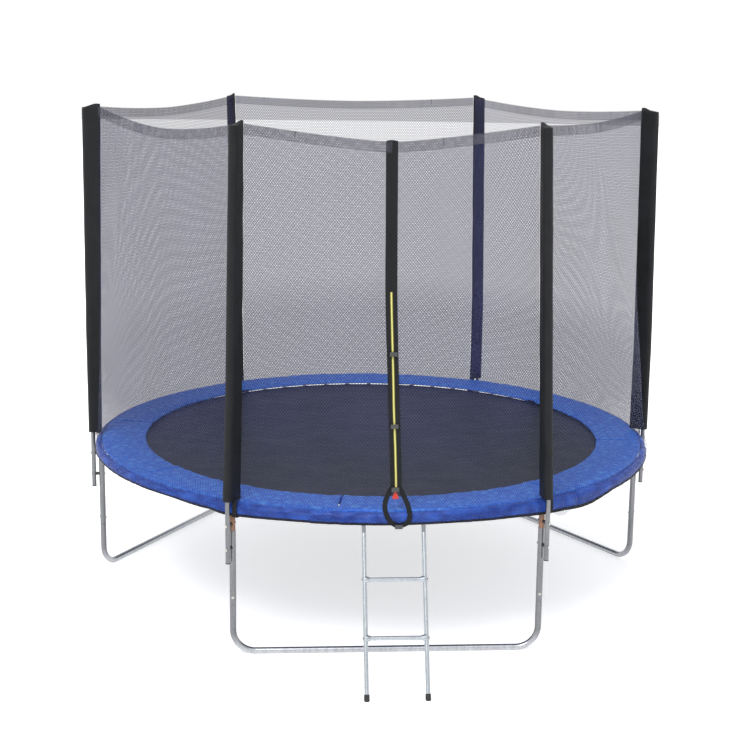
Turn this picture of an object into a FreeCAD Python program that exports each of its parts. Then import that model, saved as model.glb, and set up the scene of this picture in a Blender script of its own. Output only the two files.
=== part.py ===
"""Round garden trampoline with a safety net, six padded poles, three leg bases and a ladder.

The middle of the mat is above the origin, the ground is z = 0 and the net's zip faces -Y.
An angle on the round frame is counted from the front, positive towards +X.
"""
import FreeCAD, Part
import math
import os
import Sketcher

V = FreeCAD.Vector
Placement = FreeCAD.Placement
Rotation = FreeCAD.Rotation
UP = V(0, 0, 1)

doc = FreeCAD.newDocument("Trampoline")
sheet = doc.addObject("Spreadsheet::Sheet", "Sizes")

# Driving dimensions in millimetres and degrees

SIZES = (
    ("ring_radius", 1515, "centre line of the round top tube"),
    ("ring_height", 757, "height of that centre line above the ground"),
    ("tube_radius", 16, "outside of the top tube and the legs"),
    ("tube_wall", 1.5, "wall of the steel tubes"),
    ("segment_angle", 60, "angle between two poles, and of one piece of the top tube"),
    ("segment_gap", 0.1, "free angle between two pieces of the top tube"),
    ("socket_radius", 14.4, "swaged ends that slide into a tube of the frame"),
    ("socket_foot", 560, "lower end of the short stub welded under the top tube"),
    ("upright_top", 640, "upper end of a leg upright"),
    ("upright_foot", 265, "joint between a leg upright and its base"),
    ("base_swage_top", 325, "upper end of the base inside the upright"),
    ("base_bend", 110, "bend radius of the leg base"),
    ("low_bolt_height", 555, "lower bolt of a pole"),
    ("high_bolt_height", 675, "upper bolt of a pole"),
    ("screw_height", 300, "screw that holds an upright on its base"),
    ("bolt_radius", 4, "bolts of the poles"),
    ("bolt_hole_radius", 4.2, "holes for them"),
    ("bolt_head_radius", 7.5, "corners of a bolt's head and of its nut"),
    ("bolt_head_height", 5.5, "height of a bolt's head"),
    ("bolt_nut_height", 6.5, "height of its nut"),
    ("spacer_radius", 9, "round spacers between pole and leg"),
    ("screw_radius", 3, "screws of the legs"),
    ("screw_head_radius", 7, "round head of such a screw"),
    ("screw_head_height", 4, "height of that head"),
    ("screw_length", 42, "length under the head"),
    ("screw_nut_radius", 6, "corners of its nut"),
    ("screw_nut_height", 5, "height of its nut"),
    ("pole_circle", 1559, "radius on which the poles stand"),
    ("pole_radius", 12, "outside of a pole"),
    ("pole_foot", 486, "lower end of a pole"),
    ("pole_joint", 1300, "joint between the two halves of a pole"),
    ("pole_top", 2580, "upper end of a pole"),
    ("pole_swage", 70, "part of the upper half inside the lower one"),
    ("foam_radius", 22, "foam tube on a pole"),
    ("foam_foot", 803, "lower end of the foam"),
    ("foam_top", 2570, "upper end of the foam"),
    ("sleeve_foot", 798, "lower end of a fabric sleeve"),
    ("sleeve_top", 2600, "upper end of a fabric sleeve"),
    ("sleeve_radius", 25, "round outer side of a sleeve"),
    ("sleeve_tail", 6, "rounding of its flat inner edge"),
    ("sleeve_cloth", 2, "thickness of a sleeve's cloth"),
    ("lean_start", 780, "height up to which every pole stands upright"),
    ("pull_x_front_left", 41, "how far the net pulls the pole's top to the right"),
    ("pull_y_front_left", 10, "and to the back"),
    ("low_lean_front_left", 0.4, "share of that pull which the joint shows"),
    ("tail_foot_front_left", 82, "from the pole's axis to the sleeve's inner rounding, at the foot"),
    ("tail_top_front_left", 60, "the same at the top"),
    ("tail_turn_front_left", -12.5, "how far the net turns the sleeve about its pole"),
    ("pull_x_front_right", -63.5, "to the right, minus is to the left"),
    ("pull_y_front_right", 10, "to the back, minus is to the front"),
    ("low_lean_front_right", 0.31, "share at the joint"),
    ("tail_foot_front_right", 82, "sleeve at the foot"),
    ("tail_top_front_right", 65, "at the top"),
    ("tail_turn_front_right", -11.6, "turn of the sleeve"),
    ("pull_x_right", -22, "to the right"),
    ("pull_y_right", 0, "to the back"),
    ("low_lean_right", 0, "share at the joint"),
    ("tail_foot_right", 72, "sleeve at the foot"),
    ("tail_top_right", 68, "at the top"),
    ("tail_turn_right", -22, "turn of the sleeve"),
    ("pull_x_back_right", -26, "to the right"),
    ("pull_y_back_right", -15, "to the back"),
    ("low_lean_back_right", 0, "share at the joint"),
    ("tail_foot_back_right", 72, "sleeve at the foot"),
    ("tail_top_back_right", 69, "at the top"),
    ("tail_turn_back_right", -15.6, "turn of the sleeve"),
    ("pull_x_back_left", -29, "to the right"),
    ("pull_y_back_left", -10, "to the back"),
    ("low_lean_back_left", 0, "share at the joint"),
    ("tail_foot_back_left", 82, "sleeve at the foot"),
    ("tail_top_back_left", 50, "at the top"),
    ("tail_turn_back_left", -1, "turn of the sleeve"),
    ("pull_x_left", 10, "to the right"),
    ("pull_y_left", 0, "to the back"),
    ("low_lean_left", 0, "share at the joint"),
    ("tail_foot_left", 52, "sleeve at the foot"),
    ("tail_top_left", 79, "at the top"),
    ("tail_turn_left", -23, "turn of the sleeve"),
    ("pad_inner", 1256, "inner edge of the pad over the springs"),
    ("pad_outer", 1509, "outer edge of its foam"),
    ("pad_bottom", 780, "underside of the pad"),
    ("pad_edge", 8, "thickness at the inner edge"),
    ("pad_crown", 17, "thickness in the middle"),
    ("pad_rim", 9, "thickness at the outer edge"),
    ("pad_section", 45, "angle of one sewn section"),
    ("pad_seam", -10, "angle of one of the seams"),
    ("skirt_radius", 1541.5, "outside of the pad's skirt"),
    ("skirt_bend", 31.5, "rounding from the pad into the skirt"),
    ("skirt_cloth", 2, "thickness of the skirt"),
    ("skirt_bottom", 735, "hem of the skirt"),
    ("ladder_zone", 14.5, "half the angle of the loose cloth in front of the ladder"),
    ("loose_cloth", 4.5, "how much further out that cloth hangs"),
    ("net_band", 1544, "outside of the net's lower band"),
    ("net_cloth", 1, "thickness of the net"),
    ("net_bottom", 720, "lower edge of the net"),
    ("net_bend", 797, "height where the net leaves the pad's rim"),
    ("net_rise", 860, "height from which it hangs between the sleeves' inner edges"),
    ("net_bow", 6, "how far its top hem is bowed out in the middle"),
    ("net_corner", 2597, "top hem of the net at a pole"),
    ("net_gap", 2.2, "between the net and a sleeve"),
    ("sag_front", 2518, "top hem in the middle of the panel with the zip"),
    ("sag_front_left", 2530, "in the middle of the next panel to the left"),
    ("sag_front_right", 2572, "of the next panel to the right"),
    ("sag_back_right", 2559, "of the panel behind that"),
    ("sag_back", 2570, "of the panel at the back"),
    ("sag_back_left", 2560, "of the panel left of that"),
    ("strap_width", 25, "straps that hold the net down to the top tube"),
    ("strap_cloth", 1.4, "their thickness"),
    ("strap_offset", 30, "sideways from the pole"),
    ("strip_width", 58, "black closing strip in the net's front"),
    ("strip_cloth", 2.5, "its thickness"),
    ("strip_foot_x", 16, "middle of the strip at the pad"),
    ("strip_head_x", -13.62, "middle of the strip at the top hem"),
    ("strip_foot_y", -1551, "outer face of the strip at the pad"),
    ("strip_head_y", -1312.35, "outer face of the strip at its top"),
    ("strip_bend", 803, "height where the strip bends over the pad's rim"),
    ("strip_top", 2523, "upper end of the strip"),
    ("strip_fork", 893, "height where its two halves part"),
    ("zip_foot", 915, "lower end of the zip's teeth"),
    ("zip_top", 1830, "upper end of the zip's teeth"),
    ("zip_width", 13, "width of the zip's teeth and edges"),
    ("zip_thickness", 1.5, "thickness of the teeth"),
    ("slider_height", 906, "middle of the closed zip's slider"),
    ("flip_depth", 3.4, "from the strip to the pin on which the slider's pull flips"),
    ("flip_drop", 7.8, "from the slider's middle down to that pin"),
    ("flip_radius", 0.9, "the pin"),
    ("buckle_height_low", 907, "clip above the slider"),
    ("buckle_height_middle", 1203, "clip across the zip"),
    ("buckle_height_high", 1540, "upper clip across the zip"),
    ("buckle_height_hem", 729, "clip that joins the two tails at the hem"),
    ("buckle_hem_x", 32, "its middle"),
    ("buckle_lift", 6.8, "from the strip to the back of a clip"),
    ("buckle_depth", 7, "thickness of a clip"),
    ("buckle_tall", 20, "height of a clip"),
    ("mat_radius", 1310, "jumping mat"),
    ("mat_top", 765, "upper face of the mat"),
    ("mat_cloth", 2, "thickness of the mat"),
    ("border_width", 50, "webbing sewn under the mat's edge"),
    ("border_cloth", 4, "its thickness"),
    ("spring_count", 60, "springs round the mat"),
    ("spring_height", 766, "axis of the springs"),
    ("spring_radius", 11, "outside of a spring's coil"),
    ("spring_wire", 1.6, "radius of its wire"),
    ("bar_thickness", 3.2, "bent last turn across each end of a coil"),
    ("bar_width", 4, "width of that turn"),
    ("coil_wall", 2.5, "wall of a tube as heavy as the coil"),
    ("coil_start", 1365, "inner end of the coil"),
    ("coil_end", 1475, "outer end of the coil"),
    ("hook_inner", 1336, "where the inner hook dips through the mat's ring"),
    ("hook_outer", 1508, "end of the outer hook inside the top tube"),
    ("hook_dip", 9, "length of the inner hook's bent tip"),
    ("spring_hole_radius", 2.3, "holes for the hooks in the top tube"),
    ("ladder_x", 10, "middle of the ladder"),
    ("ladder_half_width", 142.5, "from there to a rail"),
    ("ladder_y", -1508.3, "axis on which the hooks swing"),
    ("ladder_tilt", 27.4, "lean of the rails from upright"),
    ("rail_radius", 11, "outside of a rail"),
    ("rail_wall", 1.2, "wall of the ladder's tubes"),
    ("rail_start", 24, "upper end of a rail, below the swing axis"),
    ("rail_end", 840, "lower end of a rail"),
    ("foot_length", 46, "length of the rubber cap on a rail before the ground cuts it"),
    ("rung_radius", 10, "rung tube"),
    ("rung_flare", 17, "radius of a rung's widened end"),
    ("flare_length", 26, "length of that end"),
    ("rung_bolt_radius", 3, "bolts that hold the rungs"),
    ("rung_hole_radius", 3.2, "holes for them"),
    ("rung_bolt_length", 52, "length of their shanks"),
    ("rung_high", 497, "height of the upper rung"),
    ("rung_low", 254, "height of the lower rung"),
    ("hook_radius", 19.5, "inside of a ladder hook"),
    ("hook_plate", 2.5, "its thickness"),
    ("hook_width", 25, "width of a ladder hook"),
    ("hook_mouth_start", 236, "angle of its lower lip round the top tube, from the outside"),
    ("hook_mouth_end", 10, "angle of its upper end"),
    ("tongue_top", 16.5, "upper end of the hook's tongue, below the swing axis"),
    ("tongue_foot", 70, "lower end of that tongue inside the rail's line"),
    ("foot_radius", 13, "rubber caps of the ladder"),
    ("foot_gap", 0.5, "between those caps and the ground"),
)

for row, (alias, value, note) in enumerate(SIZES, start=1):
    sheet.set(f"A{row}", note)
    sheet.set(f"B{row}", str(value))
    sheet.setAlias(f"B{row}", alias)
doc.recompute()

ANGLES = {
    "front_left": -30,
    "front_right": 30,
    "right": 90,
    "back_right": 150,
    "back_left": -150,
    "left": -90,
}
BASES = {"front": 0, "right": 120, "left": -120}
NET_PANELS = {
    "front_right": (60, "front_right", "right"),
    "back_right": (120, "right", "back_right"),
    "back": (180, "back_right", "back_left"),
    "back_left": (-120, "back_left", "left"),
    "front_left": (-60, "left", "front_left"),
}
RING = "Sizes.ring_radius"
TUBE = "Sizes.tube_radius"
BORE = "(Sizes.tube_radius - Sizes.tube_wall)"
parts = []


def number(expression):
    """Value of an expression in the sheet's names."""
    return float(sheet.evalExpression(str(expression)))


def size(alias):
    """One cell of the sheet."""
    return number(f"Sizes.{alias}")


def turned(angle):
    """Placement turned about the trampoline's axis."""
    return Placement(V(0, 0, 0), Rotation(UP, angle))


def keep(thing, label):
    """Give a finished sub-part its own name and hand it in."""
    thing.Label = label
    parts.append(thing)
    return thing


# Sketches and features

def new_body(name, placement=Placement()):
    body = doc.addObject("PartDesign::Body", name)
    body.Placement = placement
    return body


def new_sketch(body, name, role, offset=V(0, 0, 0), turn=Rotation()):
    """Sketch on one of the body's own origin planes."""
    plane = next(item for item in body.Origin.OriginFeatures if item.Role == role)
    sketch = body.newObject("Sketcher::SketchObject", name)
    sketch.AttachmentSupport = [(plane, "")]
    sketch.MapMode = "FlatFace"
    sketch.AttachmentOffset = Placement(offset, turn)
    return sketch


def hold(sketch, constraint, expression):
    """Add a constraint whose value follows the sheet."""
    index = sketch.addConstraint(constraint)
    sketch.setExpression(f"Constraints[{index}]", str(expression))


def pin(sketch, geometry, point, x, y):
    """Hold one point of a sketch at its two distances from the sketch's origin."""
    hold(sketch, Sketcher.Constraint("DistanceX", -1, 1, geometry, point, number(x)), x)
    hold(sketch, Sketcher.Constraint("DistanceY", -1, 1, geometry, point, number(y)), y)


def circle(sketch, x, y, radius):
    shape = Part.Circle(V(number(x), number(y), 0), UP, number(radius))
    geometry = sketch.addGeometry(shape)
    pin(sketch, geometry, 3, x, y)
    hold(sketch, Sketcher.Constraint("Radius", geometry, number(radius)), radius)


def annulus(sketch, x, y, outer, inner):
    circle(sketch, x, y, outer)
    circle(sketch, x, y, inner)


def outline(sketch, start, steps):
    """Closed outline. A step (x, y) is straight, (mid x, mid y, x, y) an arc through a middle."""
    corners = [start] + [step[-2:] for step in steps]
    runs = []
    for k, step in enumerate(list(steps) + [start]):
        first = V(number(corners[k][0]), number(corners[k][1]), 0)
        last = V(number(step[-2]), number(step[-1]), 0)
        if (last - first).Length < 1e-6:
            continue
        if len(step) == 2:
            runs.append((sketch.addGeometry(Part.LineSegment(first, last)), 1, 2))
            continue
        middle = V(number(step[0]), number(step[1]), 0)
        if (middle - first).cross(last - middle).z > 0:
            runs.append((sketch.addGeometry(Part.Arc(first, middle, last)), 1, 2))
        else:
            runs.append((sketch.addGeometry(Part.Arc(last, middle, first)), 2, 1))
    for k, (geometry, head, tail) in enumerate(runs):
        following, next_head, _ = runs[(k + 1) % len(runs)]
        sketch.addConstraint(Sketcher.Constraint("Coincident", geometry, tail, following, next_head))
        pin(sketch, geometry, head, *corners[k])


def pad(body, sketch, length, midplane=False):
    feature = body.newObject("PartDesign::Pad", "Pad")
    feature.Profile = sketch
    feature.Midplane = midplane
    feature.setExpression("Length", str(length))
    return feature


def revolve(body, sketch, angle):
    """Sweep a sketch round the upright axis, half the angle to each side."""
    feature = body.newObject("PartDesign::Revolution", "Revolution")
    feature.Profile = sketch
    feature.ReferenceAxis = (sketch, ["V_Axis"])
    feature.Midplane = True
    feature.setExpression("Angle", str(angle))
    return feature


def pipe(body, profile, spine, edges):
    feature = body.newObject("PartDesign::AdditivePipe", "Pipe")
    feature.Profile = profile
    feature.Spine = (spine, [f"Edge{k}" for k in range(1, edges + 1)])
    return feature


def loft(body, kind, sections):
    """Straight lines from each section to the next."""
    feature = body.newObject(f"PartDesign::{kind}Loft", "Loft")
    feature.Profile = sections[0]
    feature.Sections = sections[1:]
    feature.Ruled = True
    return feature


def cut_through(body, sketch):
    """Cut a sketch right through the body, and make sure that it took something away."""
    doc.recompute()
    before = body.Shape.Volume
    feature = body.newObject("PartDesign::Pocket", "Pocket")
    feature.Profile = sketch
    feature.Midplane = True
    feature.Length = 2.2 * size("pole_circle")
    doc.recompute()
    if not body.Shape.Volume < before - 0.01:
        raise RuntimeError(f"{body.Label}: the pocket cuts nothing")
    return feature


def upright_tube(body, y, outer, inner, foot, top):
    """Straight tube along Z at x = 0."""
    sketch = new_sketch(body, "section", "XY_Plane")
    sketch.setExpression("AttachmentOffset.Base.z", foot)
    annulus(sketch, "0", y, outer, inner)
    return pad(body, sketch, f"({top}) - ({foot})")


def level_hole(body, x, height, radius, turn=0):
    """Hole along Y, or along Y turned about the upright axis."""
    sketch = new_sketch(body, "hole", "XZ_Plane", turn=Rotation(V(0, 1, 0), turn))
    circle(sketch, x, height, radius)
    return cut_through(body, sketch)


def group(label, pieces):
    """One node made of several pieces: (object, placement) pairs, each linked in its place."""
    links = []
    for index, (source, placement) in enumerate(pieces, start=1):
        link = doc.addObject("App::Link", f"{label}_piece_{index}")
        link.LinkedObject = source
        link.Placement = placement
        links.append(link)
    compound = doc.addObject("Part::Compound", label)
    compound.Links = links
    return keep(compound, label)


def cylinder(name, radius, height, placement=Placement()):
    solid = doc.addObject("Part::Cylinder", name)
    solid.setExpression("Radius", str(radius))
    solid.setExpression("Height", str(height))
    solid.Placement = placement
    return solid


def block(name, corner, length, width, height):
    solid = doc.addObject("Part::Box", name)
    solid.Length = length
    solid.Width = width
    solid.Height = height
    solid.Placement = Placement(corner, Rotation())
    return solid


def fused(name, *solids):
    union = doc.addObject("Part::MultiFuse", name)
    union.Shapes = list(solids)
    return union


def less(base, *tools):
    """The base without each of the tools."""
    for tool in tools:
        cut = doc.addObject("Part::Cut", f"{base.Name}_cut")
        cut.Base = base
        cut.Tool = tool
        base = cut
    return base


# Round top tube with its stubs

def ring_piece(label, angle):
    """One piece of the top tube with its spring holes and the swaged end that joins the next."""
    body = new_body(label, turned(angle - 90))
    section = new_sketch(body, "section", "XZ_Plane")
    annulus(section, RING, "Sizes.ring_height", TUBE, BORE)
    half = (size("segment_angle") - size("segment_gap")) / 2
    revolve(body, section, "Sizes.segment_angle - Sizes.segment_gap")
    swage_bore = "Sizes.socket_radius - Sizes.tube_wall"
    swage_reach = 2.5
    collar = new_sketch(body, "collar", "XZ_Plane", turn=Rotation(V(0, 1, 0), half - swage_reach / 2))
    annulus(collar, RING, "Sizes.ring_height", "Sizes.tube_radius - Sizes.tube_wall / 2", swage_bore)
    revolve(body, collar, swage_reach)
    swage = new_sketch(body, "swage", "XZ_Plane", turn=Rotation(V(0, 1, 0), half))
    annulus(swage, RING, "Sizes.ring_height", "Sizes.socket_radius", swage_bore)
    revolve(body, swage, 2 * swage_reach)

    pitch = 360 / size("spring_count")
    holes = round(size("segment_angle") / pitch)
    start = (size("segment_angle") - pitch) / 2
    first = new_sketch(body, "spring_hole", "YZ_Plane", turn=Rotation(V(0, 1, 0), -start))
    circle(first, "0", "Sizes.spring_height", "Sizes.spring_hole_radius")
    doc.recompute()
    before = body.Shape.Volume
    hole = body.newObject("PartDesign::Pocket", "hole")
    hole.Profile = first
    hole.setExpression("Length", RING)
    hole.Reversed = True
    doc.recompute()
    pattern = body.newObject("PartDesign::PolarPattern", "spring_holes")
    pattern.Originals = [hole]
    pattern.Axis = (section, ["V_Axis"])
    pattern.Angle = 2 * start
    pattern.Occurrences = holes
    body.Tip = pattern
    doc.recompute()
    if not body.Shape.Volume < before - holes * size("tube_wall"):
        raise RuntimeError(f"{label}: spring holes are missing")
    return keep(body, label)


def leg_sockets():
    """Short stubs welded under the top tube, on which the leg uprights slide."""
    body = new_body("socket")
    wall = "Sizes.socket_radius - Sizes.tube_wall"
    outside, foot, top = "Sizes.socket_radius", "Sizes.socket_foot", "Sizes.ring_height"
    upright_tube(body, f"-{RING}", outside, wall, foot, top)
    doc.recompute()
    saddle = new_sketch(body, "saddle", "YZ_Plane")
    circle(saddle, f"-{RING}", "Sizes.ring_height", f"{TUBE} + 0.05")
    groove = body.newObject("PartDesign::Groove", "Groove")
    groove.Profile = saddle
    groove.ReferenceAxis = (saddle, ["V_Axis"])
    groove.Midplane = True
    groove.Angle = 4
    level_hole(body, "0", "Sizes.high_bolt_height", "Sizes.bolt_hole_radius")
    return group("leg_sockets", [(body, turned(angle)) for angle in ANGLES.values()])


# Legs

def leg_upright(label, angle, base_turn):
    body = new_body(label, turned(angle))
    upright_tube(body, f"-{RING}", TUBE, BORE, "Sizes.upright_foot", "Sizes.upright_top")
    level_hole(body, "0", "Sizes.low_bolt_height", "Sizes.bolt_hole_radius")
    side = f"-{RING} * sin({base_turn} deg)"
    level_hole(body, side, "Sizes.screw_height", "Sizes.screw_radius + 0.2", base_turn)
    return keep(body, label)


def leg_base(label, angle):
    """U-shaped tube that lies on the ground and takes two uprights on its swaged ends."""
    chord = V(0, -size("ring_radius") * math.cos(math.radians(size("segment_angle") / 2)), 0)
    body = new_body(label, turned(angle) * Placement(chord, Rotation()))
    reach = f"({RING} * sin(Sizes.segment_angle / 2 * 1 deg))"
    bend = "Sizes.base_bend"
    shoulder = "(Sizes.upright_foot - 10)"
    side, low, top = number(reach), size("tube_radius"), number(shoulder)
    radius, corner = size("base_bend"), size("base_bend") * math.sqrt(0.5)
    path = new_sketch(body, "path", "XZ_Plane")
    left_centre, right_centre = V(radius - side, low + radius, 0), V(side - radius, low + radius, 0)
    runs = (
        Part.LineSegment(V(-side, top, 0), V(-side, low + radius, 0)),
        Part.Arc(V(-side, low + radius, 0), left_centre - V(corner, corner, 0), V(radius - side, low, 0)),
        Part.LineSegment(V(radius - side, low, 0), V(side - radius, low, 0)),
        Part.Arc(V(side - radius, low, 0), right_centre + V(corner, -corner, 0), V(side, low + radius, 0)),
        Part.LineSegment(V(side, low + radius, 0), V(side, top, 0)),
    )
    for run in runs:
        path.addGeometry(run)
    for k in range(4):
        path.addConstraint(Sketcher.Constraint("Coincident", k, 2, k + 1, 1))
    pin(path, 0, 1, f"-{reach}", shoulder)
    pin(path, 0, 2, f"-{reach}", f"{TUBE} + {bend}")
    pin(path, 2, 1, f"{bend} - {reach}", TUBE)
    pin(path, 2, 2, f"{reach} - {bend}", TUBE)
    pin(path, 4, 1, reach, f"{TUBE} + {bend}")
    pin(path, 4, 2, reach, shoulder)
    profile = new_sketch(body, "section", "XY_Plane", V(0, 0, top))
    annulus(profile, f"-{reach}", "0", TUBE, BORE)
    pipe(body, profile, path, 5)
    inner = "(Sizes.socket_radius - Sizes.tube_wall)"
    for way in (-1, 1):
        swage = new_sketch(body, "swage", "XZ_Plane", V(way * side, 0, 0))
        corners = (
            (BORE, shoulder),
            (TUBE, shoulder),
            (TUBE, "Sizes.upright_foot - 6"),
            ("Sizes.socket_radius", "Sizes.upright_foot"),
            ("Sizes.socket_radius", "Sizes.base_swage_top"),
            (inner, "Sizes.base_swage_top"),
            (inner, "Sizes.upright_foot"),
            (BORE, "Sizes.upright_foot - 6"),
        )
        outline(swage, corners[0], corners[1:])
        revolve(body, swage, "360")
        level_hole(body, f"{way} * {reach}", "Sizes.screw_height", "Sizes.screw_radius + 0.2")
    return keep(body, label)


# Poles with their foam and sleeves

def pull(name):
    return f"sqrt(Sizes.pull_x_{name}^2 + Sizes.pull_y_{name}^2)"


def lean(name, height):
    """How far the pole's axis is off its foot: none up to the rim, then straight to joint and top."""
    start, joint, top = "Sizes.lean_start", "Sizes.pole_joint", "Sizes.pole_top"
    share = f"Sizes.low_lean_{name}"
    if number(height) <= size("lean_start"):
        return 0
    if number(height) <= size("pole_joint"):
        return number(f"{pull(name)} * {share} * ({height} - {start}) / ({joint} - {start})")
    return number(f"{pull(name)} * ({share} + (1 - {share}) * ({height} - {joint}) / ({top} - {joint}))")


def pole_axis(name, height):
    """Point of the pole's axis."""
    angle = math.radians(ANGLES[name])
    foot = V(math.sin(angle), -math.cos(angle), 0) * size("pole_circle")
    way = V(size(f"pull_x_{name}"), size(f"pull_y_{name}"), 0).normalize()
    return foot + way * lean(name, height) + UP * number(height)


def own_axis(name, height):
    """The same point in the frame of the pole's own angle."""
    point = turned(-ANGLES[name]).multVec(pole_axis(name, height))
    return V(round(point.x, 6), round(point.y, 6), point.z)


def leaning_tube(body, name, inner, rings):
    """Tube along the pole's axis through rings, each with its height and its outside."""
    sections = []
    for level, outer in rings:
        sketch = new_sketch(body, "section", "XY_Plane")
        sketch.setExpression("AttachmentOffset.Base.z", level)
        centre = own_axis(name, level)
        annulus(sketch, centre.x, centre.y, outer, inner)
        sections.append(sketch)
    return loft(body, "Additive", sections)


def pole(name):
    """Lower half with its bolt holes, and the upper half with the neck that slides into it."""
    outside, bore = "Sizes.pole_radius", "(Sizes.pole_radius - Sizes.tube_wall)"
    start, joint, top = "Sizes.lean_start", "Sizes.pole_joint", "Sizes.pole_top"
    lower = new_body(f"pole_{name}_lower")
    upright_tube(lower, "-Sizes.pole_circle", outside, bore, "Sizes.pole_foot", start)
    leaning_tube(lower, name, bore, ((start, outside), (joint, outside)))
    for height in ("Sizes.low_bolt_height", "Sizes.high_bolt_height"):
        level_hole(lower, "0", height, "Sizes.bolt_hole_radius")

    upper = new_body(f"pole_{name}_upper")
    neck = f"({bore} - 0.1)"
    widened = (f"{joint} + 6", f"{outside} - Sizes.tube_wall / 2")
    rings = ((f"{joint} - Sizes.pole_swage", neck), (joint, neck), widened)
    leaning_tube(upper, name, f"{neck} - Sizes.tube_wall", rings)
    leaning_tube(upper, name, bore, ((joint, outside), (top, outside)))
    doc.recompute()
    wall = math.pi * (number(outside) ** 2 - number(bore) ** 2)
    for half, first, last in ((lower, "Sizes.pole_foot", joint), (upper, joint, top)):
        if half.Shape.Volume < 0.99 * wall * (number(last) - number(first)):
            raise RuntimeError(f"{half.Label}: a length of tube is missing")
    place = turned(ANGLES[name])
    return group(f"pole_{name}", [(lower, place), (upper, place)])


def pole_caps():
    """Plugs in both ends of every pole."""
    depth = 16
    neck = cylinder("cap_neck", "Sizes.pole_radius - Sizes.tube_wall - 0.2", depth)
    head = cylinder("cap_head", "Sizes.pole_radius + 0.8", "4", Placement(V(0, 0, depth), Rotation()))
    cap = fused("cap", neck, head)
    foot_seat, top_seat = V(0, 0, depth - 0.2), V(0, 0, depth - 0.7)
    pieces = []
    for name in ANGLES:
        end = pole_axis(name, "Sizes.pole_top")
        leaning = Rotation(UP, end - pole_axis(name, "Sizes.pole_joint"))
        pieces.append((cap, Placement(end - leaning.multVec(top_seat), leaning)))
        foot = pole_axis(name, "Sizes.pole_foot")
        pieces.append((cap, Placement(foot + foot_seat, Rotation(V(1, 0, 0), 180))))
    return group("pole_caps", pieces)


def pole_foams():
    pieces = []
    levels = ("Sizes.foam_foot", "Sizes.pole_joint", "Sizes.foam_top")
    rings = [(level, "Sizes.foam_radius") for level in levels]
    for name, angle in ANGLES.items():
        foam = new_body(f"foam_{name}")
        leaning_tube(foam, name, "Sizes.pole_radius + 0.3", rings)
        pieces.append((foam, turned(angle)))
    return group("pole_foams", pieces)


def sleeve_depth(name, height):
    """From the pole's axis to the rounding of the sleeve's inner edge."""
    foot, top = size(f"tail_foot_{name}"), size(f"tail_top_{name}")
    return foot + (top - foot) * (height - size("sleeve_foot")) / (size("sleeve_top") - size("sleeve_foot"))


def sleeve_section(body, name, height, cloth):
    """Drop-shaped section of a sleeve, round outside and flat towards the net."""
    big, tip, depth = size("sleeve_radius") - cloth, size("sleeve_tail") - cloth, sleeve_depth(name, height)
    slope = math.asin((big - tip) / depth)
    cos, sin = math.cos(slope), math.sin(slope)
    half = math.sqrt(0.5)
    place = Placement(own_axis(name, height), Rotation(UP, size(f"tail_turn_{name}")))

    def spot(x, y):
        point = place.multVec(V(x, y, 0))
        return point.x, point.y

    sketch = new_sketch(body, "section", "XY_Plane", V(0, 0, height))
    outline(
        sketch,
        spot(0, -big),
        (
            spot(big * half, -big * half) + spot(big * cos, big * sin),
            spot(tip * cos, depth + tip * sin),
            spot(0, depth + tip) + spot(-tip * cos, depth + tip * sin),
            spot(-big * cos, big * sin),
            spot(-big * half, -big * half) + spot(0, -big),
        ),
    )
    return sketch


def pole_sleeves():
    """Fabric sleeves over the foam, one to a pole, with the net sewn to their inner edges."""
    pieces = []
    foot, joint = size("sleeve_foot"), size("pole_joint")
    top, cloth = size("sleeve_top"), size("sleeve_cloth")
    for name, angle in ANGLES.items():
        body = new_body(f"sleeve_{name}", turned(angle))
        loft(body, "Additive", [sleeve_section(body, name, level, 0) for level in (foot, joint, top)])
        inner = [sleeve_section(body, name, level, cloth) for level in (foot, joint, top - cloth)]
        loft(body, "Subtractive", inner)
        pieces.append((body, body.Placement))
    return group("pole_sleeves", pieces)


# Fasteners

def outward(radius, height, angle, turn=0):
    """Placement whose Z points away from the trampoline at a point of the frame."""
    point = turned(angle).multVec(V(0, -radius, height))
    return Placement(point, Rotation(UP, angle + turn) * Rotation(V(1, 0, 0), 90))


def hexagon(name, radius, height, placement=Placement()):
    solid = doc.addObject("Part::Prism", name)
    solid.Polygon = 6
    solid.Circumradius = radius
    solid.Height = height
    solid.Placement = placement
    return solid


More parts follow.
